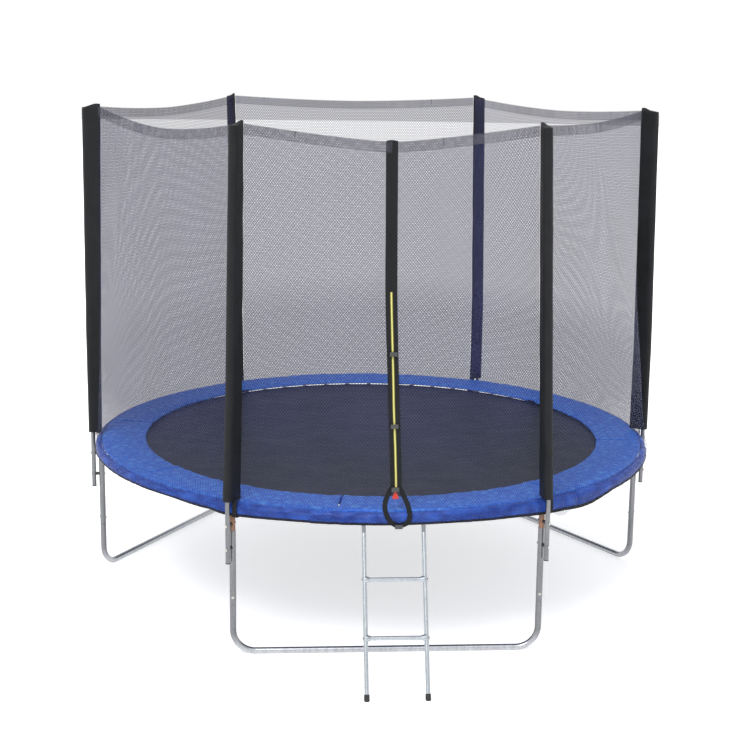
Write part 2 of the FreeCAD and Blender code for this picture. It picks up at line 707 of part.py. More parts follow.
def pole_fasteners():
    """Bolts from outside through pole and leg, black spacers between the two, nuts inside."""
    leg_inside = size("ring_radius") - size("tube_radius")
    pole_outside = size("pole_circle") + size("pole_radius")
    nut_depth = size("bolt_nut_height")
    shank_start = leg_inside - nut_depth - 4
    grip = pole_outside + 0.1 - shank_start
    shank = cylinder("bolt_shank", "Sizes.bolt_radius", grip + 2)
    head_place = Placement(V(0, 0, grip), Rotation())
    head = hexagon("bolt_head", size("bolt_head_radius"), size("bolt_head_height"), head_place)
    bolt = fused("bolt", shank, head)
    nut_body = hexagon("nut_body", size("bolt_head_radius"), nut_depth)
    below = Placement(V(0, 0, -1), Rotation())
    nut_bore = cylinder("nut_bore", "Sizes.bolt_radius + 0.05", "Sizes.bolt_nut_height + 2", below)
    nut = less(nut_body, nut_bore)

    leg_axis, pole_axis_radius = size("ring_radius"), size("pole_circle")
    room = 60
    overlap = 7
    spacers = []
    for tube_alias, alias in (("tube_radius", "low_bolt_height"), ("socket_radius", "high_bolt_height")):
        height = size(alias)
        rod = cylinder(f"spacer_{alias}", "Sizes.spacer_radius", "34", outward(leg_axis + 8, height, 0))
        leg = cylinder(f"leg_space_{alias}", f"Sizes.{tube_alias} + 0.1", room)
        leg.Placement = Placement(V(0, -leg_axis, height - room / 2), Rotation())
        beyond = cylinder(f"pole_space_{alias}", "Sizes.pole_radius + 0.1", room)
        beyond.Placement = Placement(V(0, -pole_axis_radius, height - room / 2), Rotation())
        outer_corner = V(-room / 2, overlap - pole_axis_radius - room, height - room / 2)
        outer_rest = block(f"outer_rest_{alias}", outer_corner, room, room, room)
        inner_corner = V(-room / 2, overlap - leg_axis - size("tube_radius"), height - room / 2)
        inner_rest = block(f"inner_rest_{alias}", inner_corner, room, room, room)
        along = outward(leg_axis - 20, height, 0)
        bore = cylinder(f"spacer_bore_{alias}", "Sizes.bolt_hole_radius", "80", along)
        spacers.append(less(rod, leg, beyond, outer_rest, inner_rest, bore))

    screw_shank = cylinder("screw_shank", "Sizes.screw_radius", "Sizes.screw_length + 2")
    screw_top = Placement(V(0, 0, size("screw_length")), Rotation())
    screw_head = cylinder("screw_head", "Sizes.screw_head_radius", "Sizes.screw_head_height", screw_top)
    screw = fused("screw", screw_shank, screw_head)
    screw_nut_body = hexagon("screw_nut_body", size("screw_nut_radius"), size("screw_nut_height"))
    bore = cylinder("screw_nut_bore", "Sizes.screw_radius + 0.05", "Sizes.screw_nut_height + 2", below)
    screw_nut = less(screw_nut_body, bore)

    bolts, nuts, spacer_pieces, screws = [], [], [], []
    for angle in ANGLES.values():
        for height in (size("low_bolt_height"), size("high_bolt_height")):
            bolts.append((bolt, outward(shank_start, height, angle)))
            nuts.append((nut, outward(leg_inside - nut_depth - 0.1, height, angle)))
        spacer_pieces += [(spacer, turned(angle)) for spacer in spacers]
        side = 1 if (angle - 30) % 120 == 0 else -1
        axis = turned(angle).multVec(V(0, -size("ring_radius"), size("screw_height")))
        facing = Rotation(UP, angle - side * 30) * Rotation(V(1, 0, 0), 90)
        screw_tip = size("tube_radius") + 0.1 - size("screw_length")
        screws.append((screw, Placement(axis + facing.multVec(V(0, 0, screw_tip)), facing)))
        nut_back = -size("tube_radius") - size("screw_nut_height") - 0.1
        nuts.append((screw_nut, Placement(axis + facing.multVec(V(0, 0, nut_back)), facing)))
    group("pole_bolts", bolts)
    group("frame_nuts", nuts)
    group("pole_spacers", spacer_pieces)
    group("leg_screws", screws)


# Pad over the springs

def frame_pad():
    """Sewn sections of the pad, thickest in the middle of their width."""
    body = new_body("pad_section")
    profile = new_sketch(body, "profile", "YZ_Plane")
    inner, outer, bottom = "Sizes.pad_inner", "Sizes.pad_outer", "Sizes.pad_bottom"
    outline(
        profile,
        (f"-{inner} - 6", bottom),
        (
            (f"-{outer} + 3", bottom),
            (f"-{outer}", f"{bottom} + 3"),
            (f"-{outer}", f"{bottom} + Sizes.pad_rim"),
            (
                f"-({inner} + {outer}) / 2",
                f"{bottom} + Sizes.pad_crown",
                f"-{inner} - 6",
                f"{bottom} + Sizes.pad_edge",
            ),
            (f"-{inner}", f"{bottom} + Sizes.pad_edge / 2", f"-{inner} - 6", bottom),
        ),
    )
    revolve(body, profile, "Sizes.pad_section - 0.05")
    sections = round(360 / size("pad_section"))
    start = size("pad_seam") + size("pad_section") / 2
    return group("frame_pad", [(body, turned(start + k * size("pad_section"))) for k in range(sections)])


def skirt(label, loose, middle, angle):
    """Cloth that rounds the pad's rim and hangs over the top tube."""
    body = new_body(label, turned(middle))
    out = f"(Sizes.skirt_radius + {loose})"
    bend, cloth = "Sizes.skirt_bend", "Sizes.skirt_cloth"
    crest, foot = "Sizes.ring_height", "Sizes.skirt_bottom"
    corner = "sqrt(0.5)"
    profile = new_sketch(body, "profile", "YZ_Plane")
    outline(
        profile,
        (f"-({out} - {bend})", f"{crest} + {bend}"),
        (
            (
                f"-({out} - {bend} + {bend} * {corner})",
                f"{crest} + {bend} * {corner}",
                f"-{out}",
                crest,
            ),
            (f"-{out}", foot),
            (f"-({out} - {cloth})", foot),
            (f"-({out} - {cloth})", crest),
            (
                f"-({out} - {bend} + ({bend} - {cloth}) * {corner})",
                f"{crest} + ({bend} - {cloth}) * {corner}",
                f"-({out} - {bend})",
                f"{crest} + {bend} - {cloth}",
            ),
        ),
    )
    revolve(body, profile, angle)
    return keep(body, label)


# Safety net

def arc_strip(body, height, centre, radius, start, end):
    """Thin curved section of the net between two angles of its own circle."""
    half = size("net_cloth") / 2

    def spot(distance, angle):
        return centre.x + distance * math.cos(angle), centre.y + distance * math.sin(angle)

    middle = (start + end) / 2
    sketch = new_sketch(body, "section", "XY_Plane", V(0, 0, height))
    outline(
        sketch,
        spot(radius + half, start),
        (
            spot(radius + half, middle) + spot(radius + half, end),
            spot(radius - half, end),
            spot(radius - half, middle) + spot(radius - half, start),
        ),
    )
    return sketch


def net_edge(name, middle, side, height):
    """Point of the net beside a sleeve, in the panel's own frame.

    It starts on the pad's rim, runs along the sleeve's flank and then stays at its inner edge.
    """
    big, depth, gap = size("sleeve_radius"), sleeve_depth(name, height), size("net_gap")
    slope = math.asin((big - size("sleeve_tail")) / depth)
    turn = math.radians(size(f"tail_turn_{name}"))
    rim = size("pole_circle") - size("net_band") + size("net_cloth") / 2
    sideways = side * math.sin(turn)
    first = (rim + sideways * (big / math.cos(slope) + gap)) / (math.cos(turn) + sideways * math.tan(slope))
    share = min((height - size("net_bend")) / (size("net_rise") - size("net_bend")), 1)
    inset = first + share * (depth - first)
    aside = (big - inset * math.sin(slope)) / math.cos(slope) + gap
    frame = turned(ANGLES[name] + size(f"tail_turn_{name}") - middle)
    axis = turned(-middle).multVec(pole_axis(name, height))
    point = axis + frame.multVec(V(-side * aside, inset, 0))
    return V(point.x, point.y, 0)


def strip_middle(height):
    """Sideways place of the closing strip's middle."""
    share = (height - size("strip_bend")) / (size("strip_top") - size("strip_bend"))
    return size("strip_foot_x") + share * (size("strip_head_x") - size("strip_foot_x"))


def net_panel(label, middle, left, right, sag, half=0):
    """Net between two poles: a band over the pad's rim, then up to the top hem.

    half is 0 for a whole panel, -1 or +1 for the panel left or right of the closing strip.
    """
    body = new_body(label, turned(middle))
    zone, full = size("ladder_zone"), size("segment_angle") / 2 - 0.05
    band_middle = half * (zone + full) / 2
    band_angle = full - zone if half else 2 * full
    band = new_sketch(body, "band", "YZ_Plane", turn=Rotation(V(0, 1, 0), band_middle))
    outside, inside = "-Sizes.net_band", "-(Sizes.net_band - Sizes.net_cloth)"
    outline(
        band,
        (outside, "Sizes.net_bottom"),
        ((inside, "Sizes.net_bottom"), (inside, "Sizes.net_bend"), (outside, "Sizes.net_bend")),
    )
    revolve(body, band, band_angle)

    foot, top = size("net_bend"), size("sleeve_top")
    radius_foot = size("net_band") - size("net_cloth") / 2
    edges_top = [net_edge(name, middle, side, top) for name, side in ((left, -1), (right, 1))]
    middle_top = (edges_top[0] + edges_top[1]) / 2 + V(0, -size("net_bow"), 0)
    joint = size("pole_joint")
    sections = []
    for height in (foot, size("net_rise"), joint, (joint + top) / 2, top):
        share = (height - foot) / (top - foot)
        edges = [net_edge(name, middle, side, height) for name, side in ((left, -1), (right, 1))]
        bulge = V(middle_top.x * share, -radius_foot + share * (middle_top.y + radius_foot), 0)
        if height == foot:
            centre, radius = V(0, 0, 0), radius_foot
        else:
            hoop = Part.Arc(edges[0], bulge, edges[1]).toShape().Curve
            centre, radius = hoop.Center, hoop.Radius
        start, end = [math.atan2(p.y - centre.y, p.x - centre.x) for p in edges]
        if half:
            split = strip_middle(height) + half * 2
            inner_angle = -math.acos((split - centre.x) / radius)
            start, end = (start, inner_angle) if half < 0 else (inner_angle, end)
        sections.append(arc_strip(body, height, centre, radius, start, end))
    loft(body, "Additive", sections)

    scallop = new_sketch(body, "scallop", "XZ_Plane")
    far = size("pole_circle") / 2
    corner, above = size("net_corner"), size("sleeve_top") + 50
    outline(
        scallop,
        (-far, corner),
        ((0, number(sag), far, corner), (far, above), (-far, above)),
    )
    cut_through(body, scallop)
    return keep(body, label)


def net_skirt_front():
    """Loose lower edge of the net in front of the ladder."""
    body = new_body("net_skirt_front")
    profile = new_sketch(body, "profile", "YZ_Plane")
    outside = "-(Sizes.net_band - Sizes.net_cloth + Sizes.loose_cloth + 0.5)"
    inside = "-(Sizes.net_band - 2 * Sizes.net_cloth + Sizes.loose_cloth + 0.5)"
    low, high = "Sizes.skirt_bottom + 3", "Sizes.net_bend - 1"
    outline(profile, (outside, low), ((inside, low), (inside, high), (outside, high)))
    revolve(body, profile, "2 * Sizes.ladder_zone - 0.2")
    return keep(body, "net_skirt_front")


def net_straps():
    """Straps from the sleeves' lower corners round the underside of the top tube."""
    body = new_body("strap")
    profile = new_sketch(body, "profile", "YZ_Plane")
    cloth = "Sizes.strap_cloth"
    outer = "-(Sizes.net_band + 0.8)"
    inner = f"-({RING} - {TUBE} - 4)"
    low = "(Sizes.net_bottom - 4)"
    corners = (
        (outer, "Sizes.net_bend - 8"),
        (f"{outer} - {cloth}", "Sizes.net_bend - 8"),
        (f"{outer} - {cloth}", f"{low} - {cloth}"),
        (f"{inner} + {cloth}", f"{low} - {cloth}"),
        (f"{inner} + {cloth}", "Sizes.ring_height"),
        (inner, "Sizes.ring_height"),
        (inner, low),
        (outer, low),
    )
    outline(profile, corners[0], corners[1:])
    pad(body, profile, "Sizes.strap_width", midplane=True)
    aside = Placement(V(size("strap_offset"), 0, 0), Rotation())
    return group("net_straps", [(body, turned(angle) * aside) for angle in ANGLES.values()])


# Closing strip with its zip and clips

def strip_frame(height):
    """Frame on the strip's outer face: X across it, Y into it, Z up along it."""
    foot = V(size("strip_foot_x"), size("strip_foot_y"), size("strip_bend"))
    head = V(size("strip_head_x"), size("strip_head_y"), size("strip_top"))
    way = head - foot
    origin = foot + way * ((height - foot.z) / way.z)
    return Placement(origin, Rotation(V(1, 0, 0), V(0, 0, 0), way, "ZXY"))


def zip_strip():
    """Two black edge bands that lie side by side, part below the zip and meet again at the hem."""
    curtain = new_body("strip_curtain")
    fold = new_sketch(curtain, "fold", "YZ_Plane")
    foot_y, head_y, cloth = "Sizes.strip_foot_y", "Sizes.strip_head_y", "Sizes.strip_cloth"
    hem = "(Sizes.buckle_height_hem - 12)"
    corners = (
        (foot_y, hem),
        (foot_y, "Sizes.strip_bend"),
        (head_y, "Sizes.strip_top"),
        (f"{head_y} + {cloth}", "Sizes.strip_top"),
        (f"{foot_y} + {cloth}", "Sizes.strip_bend"),
        (f"{foot_y} + {cloth}", hem),
    )
    outline(fold, corners[0], corners[1:])
    pad(curtain, fold, "7 * Sizes.strip_width", midplane=True)

    fork, top = size("strip_fork"), size("strip_top") + 5
    half, slit = size("strip_width") / 2, 1
    low, meet = size("buckle_height_hem"), size("buckle_hem_x")
    low_x, top_x = strip_middle(fork), strip_middle(top)
    tail = half - slit
    bulges = {-1: (-46, 812), 1: (96, 782)}
    bands = []
    for side, (bulge_x, bulge_z) in bulges.items():
        front = new_body(f"strip_front_{side}")
        face = new_sketch(front, "face", "XZ_Plane")
        band_low = meet + side * 17
        outline(
            face,
            (top_x + side * slit, top),
            (
                (low_x + side * slit, fork),
                (bulge_x - side * (tail - 3), bulge_z, band_low - side * 12, low + 9),
                (band_low - side * 12, low - 9),
                (band_low + side * 2, low - 9),
                (bulge_x, bulge_z, low_x + side * half, fork + 6),
                (top_x + side * half, top),
            ),
        )
        pad(front, face, "2.2 * Sizes.net_band", midplane=True)
        band = doc.addObject("Part::Common", f"strip_band_{side}")
        band.Base = curtain
        band.Tool = front
        bands.append((band, Placement()))
    return group("zip_strip", bands)


def box_on_strip(name, width, depth, tall, centre, back, low, frame):
    """Block on the strip: its back face stands off the strip, its width is across it."""
    solid = doc.addObject("Part::Box", name)
    solid.setExpression("Length", str(width))
    solid.setExpression("Width", str(depth))
    solid.setExpression("Height", str(tall))
    corner = V(number(centre) - number(width) / 2, -number(back) - number(depth), number(low))
    solid.Placement = frame * Placement(corner, Rotation())
    return solid


def zip_tape():
    length = "(Sizes.zip_top - Sizes.zip_foot)"
    frame = strip_frame(size("zip_foot"))
    tape = box_on_strip("tape", "Sizes.zip_width", "Sizes.zip_thickness", length, 0, 0.05, 0, frame)
    return keep(tape, "zip_tape")


def zip_slider():
    """Slider with two cheeks that hold the pull's pin."""
    frame = strip_frame(size("slider_height"))
    back, depth, low = "Sizes.zip_thickness + 0.3", 3.2, -6
    base = box_on_strip("slider_base", 12, depth, 16, 0, back, low, frame)
    cheeks = [box_on_strip("slider_cheek", 1.2, depth, 4, side * 4.9, back, -9.4, frame) for side in (-1, 1)]
    across = Placement(V(-10, -size("flip_depth"), -size("flip_drop")), Rotation(V(0, 1, 0), 90))
    bore = cylinder("slider_bore", "Sizes.flip_radius + 0.2", "20", frame * across)
    return keep(less(fused("slider", base, *cheeks), bore), "zip_slider")


def zip_pull():
    """Flat triangular pull that hangs on its pin between the slider's cheeks."""
    frame = strip_frame(size("slider_height"))
    body = new_body("pull", frame)
    thickness = 2 * size("flip_radius")
    face = new_sketch(body, "face", "XZ_Plane", V(0, 0, size("flip_depth") - thickness / 2))
    high, waist = size("flip_radius") - size("flip_drop"), -10.6
    corners = ((-3.9, waist), (-17, -40), (0, -45, 17, -40), (3.9, waist), (3.9, high))
    outline(face, (-3.9, high), corners)
    pad(body, face, thickness)
    axle = new_sketch(body, "axle", "YZ_Plane")
    circle(axle, "-Sizes.flip_depth", "-Sizes.flip_drop", "Sizes.flip_radius")
    pad(body, axle, "10.6", midplane=True)
    return keep(body, "zip_pull")


def buckle_frames():
    """Frames of the four clips: three across the zip, one at the hem."""
    frames = {name: strip_frame(size(f"buckle_height_{name}")) for name in ("high", "middle", "low")}
    hem = V(size("buckle_hem_x"), size("strip_foot_y"), size("buckle_height_hem"))
    frames["hem"] = Placement(hem, Rotation())
    return frames


def buckle_halves():
    """Clips: a socket half on the left band and a pronged half that slides out to the right."""
    lift, depth, tall = "Sizes.buckle_lift", "Sizes.buckle_depth", "Sizes.buckle_tall"
    sockets = []
    for name, frame in buckle_frames().items():
        shell = box_on_strip(f"socket_{name}", 20, depth, tall, -8, lift, f"-{tall} / 2", frame)
        opening = f"({tall} - 5)"
        low, back = f"-{opening} / 2", f"{lift} + 1.5"
        mouth = box_on_strip(f"mouth_{name}", 15, f"{depth} - 3", opening, -4.5, back, low, frame)
        loop = box_on_strip(f"loop_{name}", 4, f"{lift} + 0.3", 16, -16, 0.1, -8, frame)
        hollow = less(shell, mouth)
        sockets.append((fused(f"socket_half_{name}", hollow, loop), Placement()))

        stop = box_on_strip(f"stop_{name}", 15, depth, tall, 10.3, lift, f"-{tall} / 2", frame)
        thin, back = f"{depth} - 4", f"{lift} + 2"
        tongue = box_on_strip(f"tongue_{name}", 14, thin, 4, -4, back, -2, frame)
        upper = box_on_strip(f"upper_prong_{name}", 12, thin, 3, -3, back, 3.8, frame)
        lower = box_on_strip(f"lower_prong_{name}", 12, thin, 3, -3, back, -6.8, frame)
        tab = box_on_strip(f"tab_{name}", 4, f"{lift} + 0.3", 16, 15.8, 0.4, -8, frame)
        keep(fused(f"prong_{name}", stop, tongue, upper, lower, tab), f"buckle_prong_{name}")
    group("buckle_sockets", sockets)


# Mat and springs

def mat_parts():
    """Jumping mat, the webbing under its edge and the triangular rings for the springs."""
    mat = new_body("mat")
    disc = new_sketch(mat, "disc", "XY_Plane")
    disc.setExpression("AttachmentOffset.Base.z", "Sizes.mat_top - Sizes.mat_cloth")
    circle(disc, "0", "0", "Sizes.mat_radius")
    pad(mat, disc, "Sizes.mat_cloth")
    keep(mat, "mat")

    border = new_body("border")
    low = "Sizes.mat_top - Sizes.mat_cloth - Sizes.border_cloth"
    ring = new_sketch(border, "ring", "XY_Plane")
    ring.setExpression("AttachmentOffset.Base.z", low)
    annulus(ring, "0", "0", "Sizes.mat_radius", "Sizes.mat_radius - Sizes.border_width")
    pad(border, ring, "Sizes.border_cloth")
    keep(border, "mat_border")

    link = new_body("mat_ring")
    face = new_sketch(link, "face", "XY_Plane")
    face.setExpression("AttachmentOffset.Base.z", f"{low} + 0.5")
    edge = "Sizes.mat_radius"
    tip = "(Sizes.hook_inner + 9)"
    outline(
        face,
        (f"{edge} + 0.5", -24),
        ((tip, -6), (f"{tip} + 3", 0, tip, 6), (f"{edge} + 0.5", 24)),
    )
    outline(
        face,
        (f"{edge} + 4.5", -15.5),
        ((f"{tip} - 4.5", -3.5), (f"{tip} - 2.5", 0, f"{tip} - 4.5", 3.5), (f"{edge} + 4.5", 15.5)),
    )
    pad(link, face, "3.5")
    count = round(size("spring_count"))
    pitch = 360 / count
    group("mat_rings", [(link, turned((k + 0.5) * pitch)) for k in range(count)])


def springs():
    """Tension springs: a tube in the coil's outer shape, a bar across each end and two hooks."""
    body = new_body("spring")
    wire, coil, axis = "Sizes.spring_wire", "Sizes.spring_radius", "Sizes.spring_height"
    tube = new_sketch(body, "coil", "YZ_Plane", V(0, 0, size("coil_start")))
    annulus(tube, "0", axis, coil, f"{coil} - Sizes.coil_wall")
    pad(body, tube, "Sizes.coil_end - Sizes.coil_start")
    bar_reach = f"({coil} - Sizes.coil_wall / 2)"
    thick, half_width = "Sizes.bar_thickness", "(Sizes.bar_width / 2)"
    first, last = "(Sizes.coil_start + 0.4)", f"(Sizes.coil_end - 0.4 - {thick})"
    for near in (first, last):
        bar = new_sketch(body, "bar", "XY_Plane")
        bar.setExpression("AttachmentOffset.Base.z", f"{axis} - {bar_reach}")
        far = f"{near} + {thick}"
        corners = ((near, f"-{half_width}"), (far, f"-{half_width}"), (far, half_width), (near, half_width))
        outline(bar, corners[0], corners[1:])
        pad(body, bar, f"2 * {bar_reach}")
    inner_end, outer_start = f"({first} + {thick} / 2)", f"({last} + {thick} / 2)"
    for start, end in (("Sizes.hook_inner", inner_end), (outer_start, "Sizes.hook_outer")):
        hook = new_sketch(body, "hook", "YZ_Plane", V(0, 0, number(start)))
        circle(hook, "0", axis, wire)
        pad(body, hook, f"{end} - {start}")
    tip = new_sketch(body, "tip", "XY_Plane")
    tip.setExpression("AttachmentOffset.Base.z", f"{axis} - Sizes.hook_dip")
    circle(tip, f"Sizes.hook_inner + {wire} + 0.2", "0", f"{wire} - 0.1")
    pad(body, tip, "Sizes.hook_dip")
    count = round(size("spring_count"))
    pitch = 360 / count
    group("springs", [(body, turned((k + 0.5) * pitch)) for k in range(count)])


# Ladder

def ladder_frame():
    """Frame on the ladder's swing axis, with Z along the rails."""
    origin = V(size("ladder_x"), size("ladder_y"), size("ring_height"))
    return Placement(origin, Rotation(V(1, 0, 0), -size("ladder_tilt")))


def rung_place(height):
    """Distance along the rails from the swing axis to a rung."""
    return (height - size("ring_height")) / math.cos(math.radians(size("ladder_tilt")))


def ladder():
    frame = ladder_frame()
    half = "Sizes.ladder_half_width"
    rail_bore = "(Sizes.rail_radius - Sizes.rail_wall)"
    heights = (size("rung_high"), size("rung_low"))
    for label, way in (("ladder_rail_left", -1), ("ladder_rail_right", 1)):
        rail = new_body(label, frame)
        section = new_sketch(rail, "section", "XY_Plane")
        section.setExpression("AttachmentOffset.Base.z", "-Sizes.rail_end")
        annulus(section, f"{way} * {half}", "0", "Sizes.rail_radius", rail_bore)
        pad(rail, section, "Sizes.rail_end - Sizes.rail_start")
        for height in heights:
            hole = new_sketch(rail, "hole", "YZ_Plane")
            circle(hole, "0", rung_place(height), "Sizes.rung_hole_radius")
            cut_through(rail, hole)
        keep(rail, label)

    rung = new_body("rung")
    tube = new_sketch(rung, "tube", "YZ_Plane")
    annulus(tube, "0", "0", "Sizes.rung_radius", "Sizes.rung_radius - Sizes.rail_wall")
    pad(rung, tube, f"2 * {half}", midplane=True)
    for way in (-1, 1):
        flare = new_sketch(rung, "flare", "XY_Plane")
        outer_end = size("ladder_half_width")
        inner_end = outer_end - size("flare_length")
        corners = (
            (way * inner_end, 0),
            (way * inner_end, size("rung_radius")),
            (way * (outer_end - 8), size("rung_flare")),
            (way * outer_end, size("rung_flare")),
            (way * outer_end, 0),
        )
        outline(flare, corners[0], corners[1:])
        spin = rung.newObject("PartDesign::Revolution", "Revolution")
        spin.Profile = flare
        spin.ReferenceAxis = (flare, ["H_Axis"])
        spin.Angle = 360
    for way in (-1, 1):
        seat = new_sketch(rung, "seat", "XY_Plane")
        circle(seat, f"{way} * {half}", "0", "Sizes.rail_radius + 0.1")
        cut_through(rung, seat)
    bore = new_sketch(rung, "bore", "YZ_Plane")
    circle(bore, "0", "0", "Sizes.rung_hole_radius")
    cut_through(rung, bore)
    places = [frame * Placement(V(0, 0, rung_place(height)), Rotation()) for height in heights]
    group("ladder_rungs", [(rung, place) for place in places])

    shank = cylinder("rung_shank", "Sizes.rung_bolt_radius", "Sizes.rung_bolt_length")
    head = hexagon("rung_head", 6.5, 4, Placement(V(0, 0, -4), Rotation()))
    bolt = fused("rung_bolt", shank, head)
    bolts = []
    for place in places:
        for way in (-1, 1):
            start = V(way * (size("ladder_half_width") + size("rail_radius") + 0.1), 0, 0)
            bolts.append((bolt, place * Placement(start, Rotation(V(0, 1, 0), -way * 90))))
    group("ladder_bolts", bolts)

    hook = new_body("hook")
    face = new_sketch(hook, "face", "YZ_Plane")
    inside, outside = size("hook_radius"), size("hook_radius") + size("hook_plate")
    first, last = math.radians(size("hook_mouth_start")), math.radians(size("hook_mouth_end"))
    middle = (first + last) / 2

    def spot(radius, angle):
        return radius * math.cos(angle), radius * math.sin(angle)

    outline(
        face,
        spot(inside, first),
        (
            spot(inside, middle) + spot(inside, last),
            spot(outside, last),
            spot(outside, middle) + spot(outside, first),
        ),
    )
    pad(hook, face, "Sizes.hook_width", midplane=True)
    tongue = new_sketch(hook, "tongue", "YZ_Plane")
    near = "-(Sizes.rail_radius + 0.2)"
    far = f"{near} - Sizes.hook_plate"
    high, low = "-Sizes.tongue_top", "-Sizes.tongue_foot"
    corners = ((near, low), (near, high), (far, high), (far, low))
    outline(tongue, corners[0], corners[1:])
    pad(hook, tongue, "Sizes.hook_width - 10", midplane=True)
    sides = [frame * Placement(V(way * size("ladder_half_width"), 0, 0), Rotation()) for way in (-1, 1)]
    group("ladder_hooks", [(hook, side) for side in sides])

    feet = []
    ground = block("ground", V(-300, -2200, size("foot_gap") - 200), 600, 600, 200)
    for side, place in enumerate(sides):
        low = Placement(V(0, 0, -size("rail_end") - 30), Rotation())
        cup = cylinder(f"foot_{side}", "Sizes.foot_radius", "Sizes.foot_length", place * low)
        high = Placement(V(0, 0, -size("rail_end") - 0.3), Rotation())
        bore = cylinder(f"foot_bore_{side}", "Sizes.rail_radius + 0.1", "60", place * high)
        feet.append((less(cup, bore, ground), Placement()))
    group("ladder_feet", feet)


# The whole trampoline

for name, angle in ANGLES.items():
    ring_piece(f"ring_tube_{name}", angle)
leg_sockets()
for name, angle in ANGLES.items():
    leg_upright(f"leg_upright_{name}", angle, -30 if (angle - 30) % 120 == 0 else 30)
for name, angle in BASES.items():
    leg_base(f"leg_base_{name}", angle)
for name in ANGLES:
    pole(name)
pole_caps()
pole_foams()
pole_sleeves()
pole_fasteners()
frame_pad()
skirt("pad_skirt", 0, 180, "360 - 2 * Sizes.ladder_zone")
skirt("pad_flap_front", "Sizes.loose_cloth", 0, "2 * Sizes.ladder_zone - 0.2")
for name, (middle, left, right) in NET_PANELS.items():
    net_panel(f"net_panel_{name}", middle, left, right, f"Sizes.sag_{name}")
net_panel("net_panel_door_left", 0, "front_left", "front_right", "Sizes.sag_front", -1)
net_panel("net_panel_door_right", 0, "front_left", "front_right", "Sizes.sag_front", 1)
net_skirt_front()
net_straps()
zip_strip()
zip_tape()
zip_slider()
zip_pull()
buckle_halves()
mat_parts()
springs()
ladder()
doc.recompute()

# Checks and files

for item in doc.Objects:
    if "Invalid" in item.State or "Error" in item.State:
        raise RuntimeError(f"{item.Label}: {item.State}")
os.makedirs("parts", exist_ok=True)
for part in parts:
    shape = part.Shape
    if shape.isNull() or not shape.isValid() or not shape.Solids:
        raise RuntimeError(f"{part.Label}: no valid solid")
for part in parts:
    part.Shape.exportStep(f"parts/{part.Label}.step")
print(len(parts), "sub-parts written")
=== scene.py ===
# %% [markdown]
# # A round garden trampoline
# The steel tubes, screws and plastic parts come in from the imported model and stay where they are. What is left
# for Blender is all that is soft, the wound springs, and the finish of every surface. The whole lesson uses one
# frame: +Z is up, the ground is z = 0, the front with the zip looks towards -Y, and lengths are in metres.

# %% Load the frame
import bpy
import math
from mathutils import Matrix, Vector, noise


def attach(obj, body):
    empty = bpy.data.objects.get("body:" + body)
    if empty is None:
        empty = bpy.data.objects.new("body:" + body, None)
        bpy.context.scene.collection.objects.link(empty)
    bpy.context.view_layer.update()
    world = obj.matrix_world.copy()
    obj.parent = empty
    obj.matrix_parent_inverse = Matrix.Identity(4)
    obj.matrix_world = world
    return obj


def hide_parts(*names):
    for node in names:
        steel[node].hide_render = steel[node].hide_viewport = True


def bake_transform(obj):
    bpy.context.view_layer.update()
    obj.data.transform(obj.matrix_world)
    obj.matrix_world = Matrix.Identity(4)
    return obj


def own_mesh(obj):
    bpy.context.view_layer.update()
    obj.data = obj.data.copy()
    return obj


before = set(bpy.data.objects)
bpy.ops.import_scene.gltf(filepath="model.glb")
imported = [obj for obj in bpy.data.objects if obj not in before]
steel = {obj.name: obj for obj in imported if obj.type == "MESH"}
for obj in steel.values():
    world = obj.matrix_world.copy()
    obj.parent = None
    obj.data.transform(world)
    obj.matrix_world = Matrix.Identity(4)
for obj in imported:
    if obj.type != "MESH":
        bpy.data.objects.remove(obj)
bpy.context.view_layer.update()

# %% [markdown]
# ## The camera
# The photograph was taken from a little above head height, almost nine metres away, with a long lens. Such a lens
# keeps the front and the back of a wide object nearly the same size. A camera is placed by its position and by
# three directions, which together make its rotation.

# %% Camera
eye = Vector((-0.5934, -8.8307, 3.0898))
to_the_right = Vector((0.99772, -0.06636, 0.01216))
upward = Vector((0.00260, 0.21785, 0.97598))
ahead = Vector((0.06741, 0.97372, -0.21752))
bpy.ops.object.camera_add(location=eye)
camera = bpy.context.object
camera.rotation_euler = Matrix((to_the_right, upward, -ahead)).transposed().to_euler()
camera.data.sensor_width = 36
camera.data.lens = 77.5
camera.data.clip_end = 200
bpy.context.scene.camera = camera
bpy.context.scene.view_settings.view_transform = "Standard"
print("camera at", tuple(round(x, 2) for x in eye))

# %% [markdown]
# ## Node helpers
# A material in Blender is a small graph of nodes. Three short helpers keep the rest readable: one places a node
# and wires it, one does a sum, and one blends two colours. A socket is filled with a plain value, or wired when
# it is given another node's output.

# %% Helpers for nodes
def add_node(tree, kind, inputs=None, **menus):
    """Place a node, set its menus, and fill or wire its sockets."""
    made = tree.nodes.new(kind)
    for name, value in menus.items():
        setattr(made, name, value)
    for key, value in (inputs or {}).items():
        if isinstance(value, bpy.types.NodeSocket):
            tree.links.new(value, made.inputs[key])
        else:
            made.inputs[key].default_value = value
    return made


def sum_node(tree, operation, *values, clamp=False):
    inputs = dict(enumerate(values))
    return add_node(tree, "ShaderNodeMath", inputs, operation=operation, use_clamp=clamp).outputs[0]


def product(tree, first, second, clamp=False):
    return sum_node(tree, "MULTIPLY", first, second, clamp=clamp)


def scaled(tree, place, share):
    return add_node(tree, "ShaderNodeVectorMath", {0: place, "Scale": share}, operation="SCALE").outputs[0]


def split_axes(tree, place):
    return add_node(tree, "ShaderNodeSeparateXYZ", {0: place}).outputs


def blend_colours(tree, share, first, second):
    """Colour between two, by a share from 0 to 1."""
    first, second = [(*c, 1.0) if isinstance(c, tuple) else c for c in (first, second)]
    mixed = add_node(tree, "ShaderNodeMix", {0: share, 6: first, 7: second}, data_type="RGBA")
    return mixed.outputs[2]


